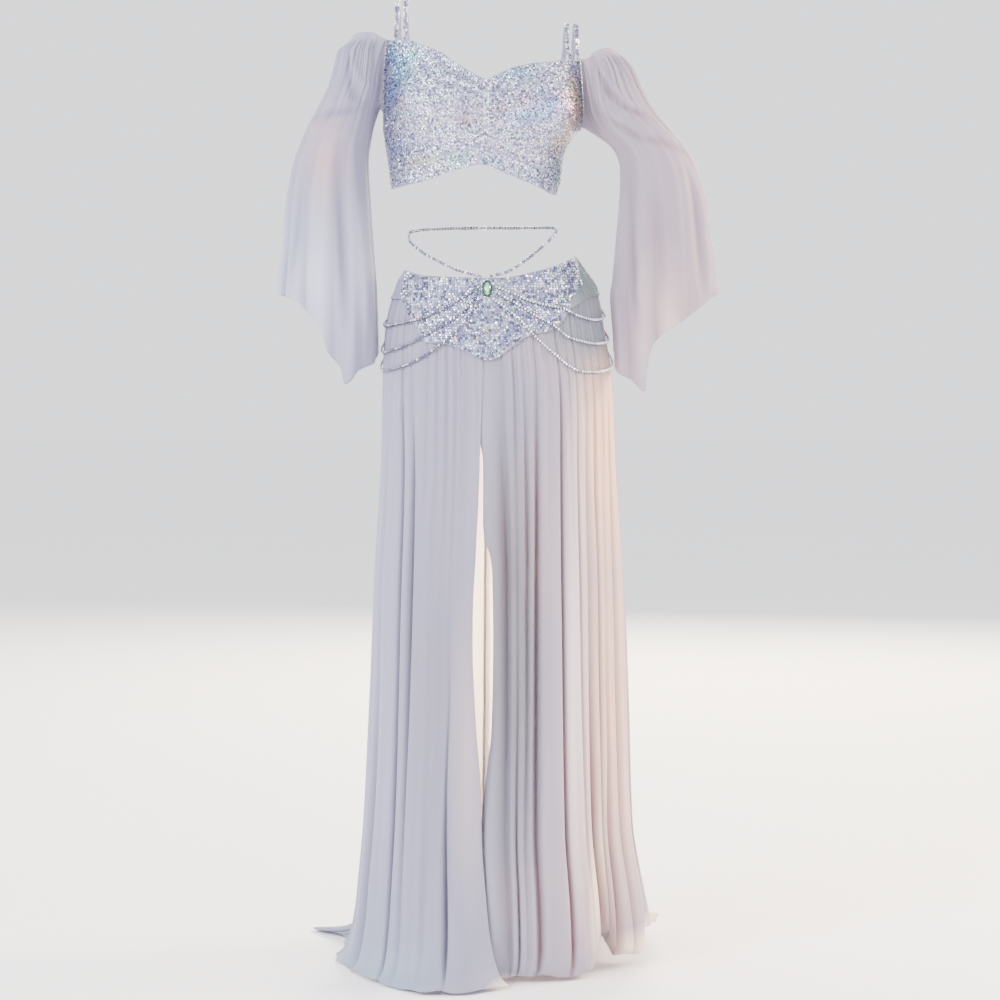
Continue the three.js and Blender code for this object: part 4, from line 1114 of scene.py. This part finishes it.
def make_top():
    cup_bottom = lambda phi: bottom_edge(phi) + BAND_HEIGHT
    band_top = lambda phi: bottom_edge(phi) + BAND_HEIGHT - SEAM_GAP
    left = (LEFT_SIDE + HALF_SEAM, FRONT_MIDDLE - HALF_SEAM)
    right = (FRONT_MIDDLE + HALF_SEAM, RIGHT_SIDE - HALF_SEAM_RIGHT)
    panels = {
        "top_cup_left": (*left, cup_bottom, top_edge, 90, 60),
        "top_cup_right": (*right, cup_bottom, top_edge, 90, 60),
        "top_band_left": (*left, bottom_edge, band_top, 80, 12),
        "top_band_right": (*right, bottom_edge, band_top, 80, 12),
        "top_back_left": (-180 + BACK_OPENING, LEFT_SIDE - HALF_SEAM, bottom_edge, top_edge, 80, 30),
        "top_back_right": (RIGHT_SIDE + HALF_SEAM_RIGHT, 180 - BACK_OPENING, bottom_edge, top_edge, 80, 30),
    }
    for order, (name, (start, end, low_of, high_of, columns, rows)) in enumerate(panels.items()):
        phi = np.linspace(start, end, columns)[None, :]
        share = np.linspace(0, 1, rows)[:, None]
        z = high_of(phi) + (low_of(phi) - high_of(phi)) * share
        mesh = sheet_mesh(name, top_surface(phi, z))
        piece = add_piece(name, mesh, [top_ground], "sequin_cloth", [name], BEADED_THICK)
        sequin_cover(name + "_sequins", start, end, low_of, high_of, 10 + order)
    make_tab()
    make_fastening()


def make_tab():
    share = np.linspace(0, 1, 40)[:, None]
    across = np.linspace(-1, 1, 9)[None, :]
    phi = FRONT_MIDDLE + across * (TAB_REACH - 0.5 * np.sin(math.pi * share))
    z = TAB_HIGH - (TAB_HIGH - TAB_LOW) * share + 0 * across
    wrinkle = 0.5 * np.sin(share * 46) * (1 - across**2)
    grid = bust_point(phi, z, TAB_PROUD + wrinkle)
    mesh = sheet_mesh("top_tab", grid)
    piece = add_piece("top_tab", mesh, [top_ground], "sequin_cloth", ["top_tab"], CHIFFON_THICK)
    rng = seeded(30)
    surface = lambda a, b: bust_point(a, b, TAB_PROUD + 0.5)
    keep = lambda a, b: (np.abs(a - FRONT_MIDDLE) < 2.4) & (b > TAB_LOW + 1) & (b < TAB_HIGH - 1)
    start, end = FRONT_MIDDLE - TAB_REACH, FRONT_MIDDLE + TAB_REACH
    phi, z = surface_spots(surface, start, end, TAB_LOW, TAB_HIGH, SEQUIN_PITCH, keep, rng)
    shades = shades_for(len(phi), rng, SEQUIN_PALETTE)
    size_of = lambda count: np.full(count, SEQUIN_RADIUS)
    sequins_on("top_tab_sequins", surface, phi, z, shades, rng, size_of)


# Sides of the fastening behind, its top and its bottom
FASTENING_SIDES = (174, 186)
FASTENING_ENDS = (207, 177)


def make_fastening():
    phi = np.linspace(*FASTENING_SIDES, 24)[None, :]
    z = np.linspace(*FASTENING_ENDS, 16)[:, None]
    grid = on_section(BUST_SECTIONS, phi, z + 0 * phi, TAB_PROUD + 0.15 * np.sin(z * 1.6))
    mesh = sheet_mesh("top_fastening", grid)
    piece = add_piece("top_fastening", mesh, [sleeve_cloth], "chiffon", ["top_fastening"], CHIFFON_THICK)


# Crystals of the yoke

CRYSTAL_PITCH = 4.2
CRYSTAL_TILT = 0.1
CRYSTAL_LIFT = 0.25
CRYSTAL_MARGIN = 1.2
CRYSTAL_JITTER = 0.12

# First and last bearing, lowest and highest place, and the radii with the share of each
CRYSTAL_AREA = (-80, 78, -118, 30)
CRYSTAL_RADII = [1.6, 2.0, 2.4]
CRYSTAL_SHARES = [0.36, 0.42, 0.22]


def make_yoke_crystals():
    rng = seeded(40)
    surface = lambda phi, z: on_yoke(phi, z, CRYSTAL_LIFT)

    def keep(phi, z):
        between = (phi > read(CRYSTALS_LEFT, "phi", z)) & (phi < read(CRYSTALS_RIGHT, "phi", z))
        low, high = read(YOKE_BOTTOM, "z", phi), read(YOKE_TOP, "z", phi)
        return between & (z > low + CRYSTAL_MARGIN) & (z < high - CRYSTAL_MARGIN)

    phi, z = surface_spots(surface, *CRYSTAL_AREA, CRYSTAL_PITCH, keep, rng, CRYSTAL_JITTER)
    shades = shades_for(len(phi), rng, CRYSTAL_PALETTE)
    size_of = lambda count: rng.choice(CRYSTAL_RADII, count, p=CRYSTAL_SHARES)
    kind = (CRYSTAL_TILT, size_of, CROWN, crystal_shine, "yoke_cloth")
    sewn_on("yoke_crystals", surface, phi, z, shades, rng, *kind)


# Chains, strings and straps of stones

def along(points, pitch):
    """Places at even steps along a path, with the way that it runs there."""
    run = run_of(points)
    stops = np.linspace(pitch / 2, run[-1] - pitch / 2, max(int(run[-1] / pitch), 2))
    place, ahead = (
        np.stack([np.interp(at, run, points[:, i]) for i in range(3)], axis=1)
        for at in (stops, stops + 0.5)
    )
    return place, unit(ahead - place)


def smooth_path(points, count=240):
    points = np.array(points, float)
    run = run_of(points)
    rows = {"run": run, "x": points[:, 0], "y": points[:, 1], "z": points[:, 2]}
    at = np.linspace(0, run[-1], count)
    return np.stack([read(rows, axis, at) for axis in "xyz"], axis=1)


def stone_chain(name, path, pitch, radius, seed, palette):
    rng = seeded(seed)
    place, way = along(path, pitch)
    outs = tilted(unit(place * np.array([1.0, 1.0, 0.0])), rng, CHAIN_TILT)
    sizes = radius * rng.uniform(*CHAIN_UNEVEN, len(place))
    shades = shades_for(len(place), rng, palette)
    mesh = stones_mesh(name, place, outs, way, sizes, CROWN, shades, setting=SETTING_WIDE)
    add_piece(name, mesh, [crystal_shine, setting_metal], "crystal_chain", [name])


def thread(name, path, radius, metal):
    """A chain's thin strand; dark under the hip chains, where it is also painted shadow of the stones."""
    curve = bpy.data.curves.new(name, "CURVE")
    curve.dimensions = "3D"
    curve.bevel_depth = radius * MM
    curve.bevel_resolution = 1
    spline = curve.splines.new("POLY")
    spline.points.add(len(path) - 1)
    for point, (x, y, z) in zip(spline.points, path * MM):
        point.co = (x, y, z, 1)
    curve.materials.append(metal)
    strand = placed(name, curve)
    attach(strand, "root")


# How far the dark strand sits below a hip chain's stones, as painted shadow
SHADOW_STRAND_DROP = 1.9
SWAG_STRAND_RADIUS = 0.75
STRING_STRAND_RADIUS = 0.8
STRING_RADIUS = 2.15
STRING_PITCH = 4.3

# Radius and pitch of the stones of the hip chains
LEFT_CHAIN = (1.75, 4.5)
RIGHT_CHAIN = (2.1, 4.7)


def make_chains():
    for order, (name, rows) in enumerate(SWAGS.items()):
        numbered = {"order": np.arange(len(rows["phi"]), dtype=float), **rows}
        at = np.linspace(0, len(rows["phi"]) - 1, 260)
        phi, z = read(numbered, "phi", at), read(numbered, "z", at)
        off_yoke = np.clip((read(YOKE_BOTTOM, "z", phi) - z) / 12, 0, 1)
        path = on_yoke(phi, z, CHAIN_PROUD - CHAIN_SETTLE * off_yoke)
        on_right = name.startswith("right")
        radius, pitch = RIGHT_CHAIN if on_right else LEFT_CHAIN
        palette = CHAIN_PALETTE if on_right else STRING_PALETTE
        stone_chain("swag_" + name, path, pitch, radius, 50 + order, palette)
        # A dark strand a little below the stones: the chain's strand, and painted shadow under it
        below = path - np.array([0, 0, SHADOW_STRAND_DROP])
        thread("swag_" + name + "_strand", below, SWAG_STRAND_RADIUS, shadow_strand)
    for order, (name, points) in enumerate(WAIST_STRINGS.items()):
        path = smooth_path(points)
        node_name = "waist_string_" + name
        stone_chain(node_name, path, STRING_PITCH, STRING_RADIUS, 60 + order, STRING_PALETTE)
        thread(node_name + "_strand", path, STRING_STRAND_RADIUS, ribbon_cloth)


def strap_end(phi):
    middle = bust_point(phi, top_edge(phi))
    reach = math.degrees(STRAP_WIDTH / 2 / math.hypot(middle[0], middle[1]))
    edge = max(float(top_edge(phi - reach)), float(top_edge(phi + reach)))
    wide = bust_point(phi + reach, edge) - bust_point(phi - reach, edge)
    wide[2] = 0
    wide = unit(wide)
    if wide[0] < 0:
        wide = -wide
    return bust_point(phi, edge + EDGE_GAP), wide


def make_straps():
    for order, (name, (front_phi, back_phi, over)) in enumerate(STRAPS.items()):
        front, front_wide = strap_end(front_phi)
        back, back_wide = strap_end(back_phi)
        path = smooth_path([front, *over, back], STRAP_POINTS)
        share = np.linspace(0, 1, len(path))[:, None]
        level = np.array([1.0, 0.0, 0.0])
        ahead = np.clip(share / STRAP_TOP, 0, 1)
        behind = np.clip((share - STRAP_TOP) / (1 - STRAP_TOP), 0, 1)
        to_back = level * (1 - behind) + back_wide * behind
        wide = unit(np.where(share < STRAP_TOP, front_wide * (1 - ahead) + level * ahead, to_back))
        way = unit(np.gradient(path, axis=0))
        out = unit(np.cross(way, wide))
        if out[len(out) // 2][2] < 0:
            out = -out
        node_name = "strap_" + name
        across = np.linspace(-0.5, 0.5, 5)
        ribbon = path[:, None, :] + wide[:, None, :] * (across * STRAP_WIDTH * RIBBON_SHARE)[None, :, None]
        mesh = sheet_mesh(node_name, ribbon, flip=True)
        length = float(np.linalg.norm(np.diff(path, axis=0), axis=1).sum()) * MM
        piece = add_piece(node_name, mesh, [ribbon_cloth], "crystal_chain", [node_name], RIBBON_THICK)
        rng = seeded(70 + order)
        half = STRAP_STONE_PITCH / 2
        stops = np.arange(half, length / MM - half, STRAP_STONE_PITCH)
        pick = np.interp(stops, run_of(path), np.arange(len(path))).round().astype(int)
        lifted = path[pick] + out[pick] * STRAP_STONE_LIFT
        aside = wide[pick] * STRAP_ROW_AWAY
        places = np.concatenate([lifted - aside, lifted + aside])
        outs = tilted(np.concatenate([out[pick], out[pick]]), rng, STRAP_STONE_TILT)
        ways = np.concatenate([way[pick], way[pick]])
        sizes = np.full(len(places), STRAP_STONE_RADIUS)
        shades = shades_for(len(places), rng, STRING_PALETTE)
        mesh = stones_mesh(node_name + "_stones", places, outs, ways, sizes, CROWN, shades)
        add_piece(node_name + "_stones", mesh, [crystal_shine], "crystal_chain")


# Brooch and clasp

def oval_grid(profile, sides, centre, side, out, along_way):
    angle = np.linspace(0, 2 * math.pi, sides, endpoint=False)
    rings = []
    for across, up in profile:
        flat = side * (np.cos(angle) * across * BROOCH["half_wide"])[:, None]
        tall = along_way * (np.sin(angle) * across * BROOCH["half_tall"])[:, None]
        rings.append(centre + flat + tall + out * up * BROOCH["deep"])
    return np.stack(rings)


def make_brooch():
    phi, z = BROOCH["phi"], BROOCH["z"]
    above = on_yoke(phi, z + BROOCH["half_tall"])
    below = on_yoke(phi, z - BROOCH["half_tall"])
    way = unit(above - below)
    out = unit(np.cross(np.array([1.0, 0.0, 0.0]), way))
    side = np.cross(out, way)
    centre = on_yoke(phi, z) + out * BROOCH["seat"]
    stone = [
        (0.02, 0.0), (0.86, 0.0), (1.0, 0.24), (0.97, 0.36),
        (0.8, 0.66), (0.58, 0.86), (0.34, 0.96), (0.02, 0.97),
    ]
    gem = sheet_mesh("gem", oval_grid(stone, 16, centre, side, out, way), closed=True)
    for polygon in gem.polygons:
        polygon.use_smooth = False
    add_piece("gem", gem, [gem_glass], "green_crystal", ["gem"])
    rim = [(1.03, 0.0), (1.2, 0.0), (1.22, 0.14), (1.17, 0.3), (1.1, 0.36), (1.03, 0.3), (1.03, 0.0)]
    ring = sheet_mesh("gem_rim", oval_grid(rim, 48, centre, side, out, way), closed=True)
    add_piece("gem_rim", ring, [rim_metal], "dark_metal", ["gem_rim"])


def make_clasp():
    share = np.linspace(0, 1, 24)
    radius = CLASP["radius"] * np.sqrt(np.clip(1 - (2 * share - 1) ** 6, 0.0004, 1))
    angle = np.linspace(0, 2 * math.pi, 24, endpoint=False)
    x = CLASP["x"] + (share - 0.5) * CLASP["length"]
    rings = np.stack([
        np.broadcast_to(x[:, None], (24, 24)),
        CLASP["y"] + radius[:, None] * np.cos(angle)[None, :],
        CLASP["z"] + radius[:, None] * np.sin(angle)[None, :],
    ], axis=-1)
    mesh = sheet_mesh("waist_string_clasp", rings, closed=True)
    add_piece("waist_string_clasp", mesh, [setting_metal], "crystal_chain", ["waist_string_clasp"])


# Sleeves

SLEEVE_ROWS = 110
SLEEVE_COLUMNS = 240
ELASTIC_SHARE = 0.016
CREASE_GAIN = 1.5
SLEEVE_RADIUS = 60
DEEPEST_SLEEVE_FOLD = 7
SLEEVE_BUNCHING = 1.12
SLEEVE_FOLD_UNEVEN = (0.55, 1.25)
SLEEVE_FOLD_WIDE = 0.4
SLEEVE_GATHER_HIGH = 1.7
SLEEVE_GATHER_REACH = 0.2
SLEEVE_WAVE_HIGH = 0.8
ELASTIC_DENT = 0.5
ELASTIC_HALF = 0.006
ARMHOLE_FADE = 4
THREE_WAVES = 1.7

# Gathers under the elastic, as length and start, and waves all round, as count and start
SLEEVE_GATHERS = ((9.5, 0.4), (6.2, 2.0), (13.0, 4.4))
SLEEVE_WAVES = ((13, 0.3), (21, 1.9), (8, 4.0))
LEFT_SLEEVE_CREASES = creases_of("""
    60 325, 72 290, 95 262, 135 248 : 7 3.2
    62 338, 80 305, 105 282, 140 270 : 6 -2.6
    20 232, 70 236, 120 240, 150 246 : 6 2.8
    20 220, 60 214, 110 208, 140 218 : 7 -2.4
    105 190, 112 60, 118 -90 : 9 4.0
    130 180, 138 40, 142 -80 : 9 -3.6
    50 150, 44 40, 38 -20 : 12 3.0
    250 260, 262 120, 268 -30 : 12 4.0
    300 290, 296 140, 290 -10 : 12 -3.4
    214 220, 220 60, 226 -60 : 11 3.2
""")
RIGHT_SLEEVE_CREASES = creases_of("""
    120 315, 95 270, 72 248, 40 236 : 6 -3.2
    128 312, 104 262, 78 238, 40 226 : 6 3.2
    130 250, 95 216, 50 208, 20 196 : 7 -2.8
    136 232, 96 198, 50 190, 16 176 : 7 2.8
    34 150, 30 60, 34 -30 : 8 -4.0
    48 160, 46 60, 52 -40 : 9 3.6
    150 150, 132 0, 118 -100 : 9 3.6
    100 130, 92 20, 84 -60 : 12 2.6
    250 250, 262 120, 268 -30 : 12 4.0
    300 280, 296 140, 290 -10 : 12 -3.4
    214 200, 220 60, 226 -60 : 11 3.2
""")


def sleeve_grid(sleeve, creases, rng):
    """The sleeve's outer face: folds from a gathered edge to the hem, pulled to the armhole at its top."""
    phi = np.linspace(0, 360, SLEEVE_COLUMNS, endpoint=False)[None, :]
    share = np.linspace(0, 1, SLEEVE_ROWS)[:, None] ** SLEEVE_BUNCHING
    top = read(sleeve["top"], "z", phi)
    z = top + (read(sleeve["hem"], "z", phi) - top) * share
    outer = read(sleeve["sections"], "outer", z)
    inner = read(sleeve["sections"], "inner", z)
    pitch = 360 / SLEEVE_FOLDS
    place = ((phi - sleeve["turn"]) / pitch - SLEEVE_FURROW) % 1
    k = np.floor((phi - sleeve["turn"]) / pitch - SLEEVE_FURROW).astype(int) % SLEEVE_FOLDS
    depths = rng.uniform(*SLEEVE_FOLD_UNEVEN, SLEEVE_FOLDS)
    near = np.minimum(place, 1 - place)
    deeper = np.where(place < 0.5, depths[k], depths[(k + 1) % SLEEVE_FOLDS])
    fold = np.clip(1 - near / SLEEVE_FOLD_WIDE, 0, 1) ** 1.5
    inset = read(SLEEVE_FOLD_DEPTH, "deep", share) * deeper * fold
    around = np.radians(phi) * SLEEVE_RADIUS
    lap = 2 * math.pi * SLEEVE_RADIUS
    gathers = sum(
        np.sin(around * 2 * math.pi * round(lap / length) / lap + start)
        for length, start in SLEEVE_GATHERS
    ) / THREE_WAVES
    below = np.clip((share - ELASTIC_SHARE) / 0.02, 0, 1)
    inset += SLEEVE_GATHER_HIGH * gathers * below * np.exp(-((share / SLEEVE_GATHER_REACH) ** 2))
    inset += SLEEVE_WAVE_HIGH * (0.3 + share) * sum(
        np.sin(np.radians(phi) * waves + 3 * share + start) for waves, start in SLEEVE_WAVES
    ) / THREE_WAVES
    inset += ELASTIC_DENT * np.exp(-(((share - ELASTIC_SHARE) / ELASTIC_HALF) ** 2))
    for points, wide, deep in creases:
        inset += CREASE_GAIN * soft_line(phi, z, points, wide, deep, SLEEVE_RADIUS)
    half = (outer - inner) / 2 - inset
    deep = read(sleeve["sections"], "deep", z) - inset
    angle = np.radians(phi)
    x = sleeve["side"] * ((outer + inner) / 2 + half * np.cos(angle))
    y = sleeve["backward"] - deep * np.sin(angle)
    hanging = np.stack(np.broadcast_arrays(x, y, z), axis=-1)
    armhole = sleeve["armhole"]
    bust = read(armhole, "bust", phi)
    seam = bust_point(bust, top_edge(bust) - ARMHOLE_LAP, ARMHOLE_PROUD)
    pull = np.clip(1 - share / ARMHOLE_SHARE, 0, 1) ** ARMHOLE_POWER
    first, last = armhole["phi"][0], armhole["phi"][-1]
    pull = pull * np.clip((phi - first + ARMHOLE_FADE) / ARMHOLE_FADE, 0, 1)
    pull = pull * np.clip((last + ARMHOLE_FADE - phi) / ARMHOLE_FADE, 0, 1)
    depth = np.clip(inset / DEEPEST_SLEEVE_FOLD, 0, 1)
    return hanging * (1 - pull[..., None]) + seam * pull[..., None], depth


def make_sleeves():
    for name, sleeve, creases, seed, under in (
        ("sleeve_left", LEFT_SLEEVE, LEFT_SLEEVE_CREASES, 80, "top_cup_left"),
        ("sleeve_right", RIGHT_SLEEVE, RIGHT_SLEEVE_CREASES, 81, "top_cup_right"),
    ):
        grid, depth = sleeve_grid(sleeve, creases, seeded(seed))
        mesh = sheet_mesh(name, grid, closed=True, flip=sleeve["side"] > 0, furrow=depth)
        piece = add_piece(name, mesh, [sleeve_cloth], "chiffon", [name], CHIFFON_THICK)


# Floor, light and camera

def make_stage():
    mesh = bpy.data.meshes.new("floor")
    reach = 16.0
    corners = [(-reach, -reach), (reach, -reach), (reach, reach), (-reach, reach)]
    mesh.from_pydata([(x, y, FLOOR_Z * MM) for x, y in corners], [], [(0, 1, 2, 3)])
    floor = placed("floor", mesh)

    def build(tree, shader):
        greys = [(0.3, (0.93, 0.93, 0.93)), (0.7, (0.95, 0.95, 0.95))]
        tone = ramp(tree, noise(tree, place_of(tree), 1.5), greys)
        tree.links.new(tone, shader.inputs["Base Color"])
        set_inputs(shader, Roughness=0.8)

    mesh.materials.append(material("pale_floor", build))
    floor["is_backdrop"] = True


# Soft lamps: place, what they point at, width, height, power and colour
LIGHTS = [
    ("key", (-2.6, -3.0, 1.5), (0, 0, -0.3), 1.4, 1.4, 220, (0.94, 0.97, 1.0)),
    ("fill", (2.6, -2.4, 0.6), (0, 0, -0.3), 2.0, 2.0, 40, (1.0, 0.92, 0.87)),
    ("warm_side", (2.5, 0.4, 0.7), (0, 0, -0.3), 0.9, 0.9, 170, (1.0, 0.78, 0.60)),
    ("cool_side", (-2.6, 1.0, 0.7), (0, 0, -0.3), 1.4, 1.4, 50, (0.82, 0.90, 1.0)),
    ("warm_back", (0.8, 4.2, 1.4), (0, 0, -0.3), 2.2, 2.2, 560, (1.0, 0.82, 0.62)),
    ("warm_inside", (0.09, -0.05, -0.52), (-0.01, 0.15, -0.52), 0.05, 0.55, 13, (1.0, 0.81, 0.62)),
    ("sparkle_left", (-0.9, -2.8, 1.4), (0, 0, -0.3), 0.12, 0.12, 16, (1.0, 1.0, 1.0)),
    ("sparkle_right", (1.4, -2.4, 1.1), (0, 0, -0.3), 0.12, 0.12, 16, (1.0, 0.96, 0.92)),
]


def make_lights():
    world = bpy.data.worlds.new("studio")
    world.use_nodes = True
    sky = world.node_tree.nodes["Background"]
    sky.inputs["Color"].default_value = (0.95, 0.96, 1.0, 1)
    sky.inputs["Strength"].default_value = 1.8
    bpy.context.scene.world = world
    for name, place, target, wide, tall, power, colour in LIGHTS:
        data = bpy.data.lights.new(name, "AREA")
        data.shape = "RECTANGLE"
        data.size = wide
        data.size_y = tall
        data.energy = power
        data.color = colour
        lamp = placed(name, data)
        lamp.location = place
        x, y, z = np.array(place) - np.array(target)
        lamp.rotation_euler = (math.atan2(math.hypot(x, y), z), 0, math.atan2(x, -y))


CAMERA_DISTANCE = 4.8
CAMERA_Z = -0.005
CAMERA_DOWN = 3.78
FOCAL_PIXELS = 3310.0
FRAME_PIXELS = 1000.0
MIDDLE_PIXEL = 487.0
SENSOR_WIDTH = 36.0


def make_camera():
    data = bpy.data.cameras.new("camera")
    data.sensor_width = SENSOR_WIDTH
    data.lens = FOCAL_PIXELS / FRAME_PIXELS * SENSOR_WIDTH
    data.shift_x = (FRAME_PIXELS / 2 - MIDDLE_PIXEL) / FRAME_PIXELS
    camera = placed("camera", data)
    camera.location = (0, -CAMERA_DISTANCE, CAMERA_Z)
    camera.rotation_euler = (math.radians(90 - CAMERA_DOWN), 0, 0)
    bpy.context.scene.camera = camera


make_camera()
make_lights()
make_stage()
make_skirt()
make_yoke()
make_yoke_crystals()
make_top()
make_sleeves()
make_straps()
make_chains()
make_brooch()
make_clasp()


def plain(box):
    return [[float(number) for number in corner] for corner in box]


{"cad": plain(cad_box), "visual": plain(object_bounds())}
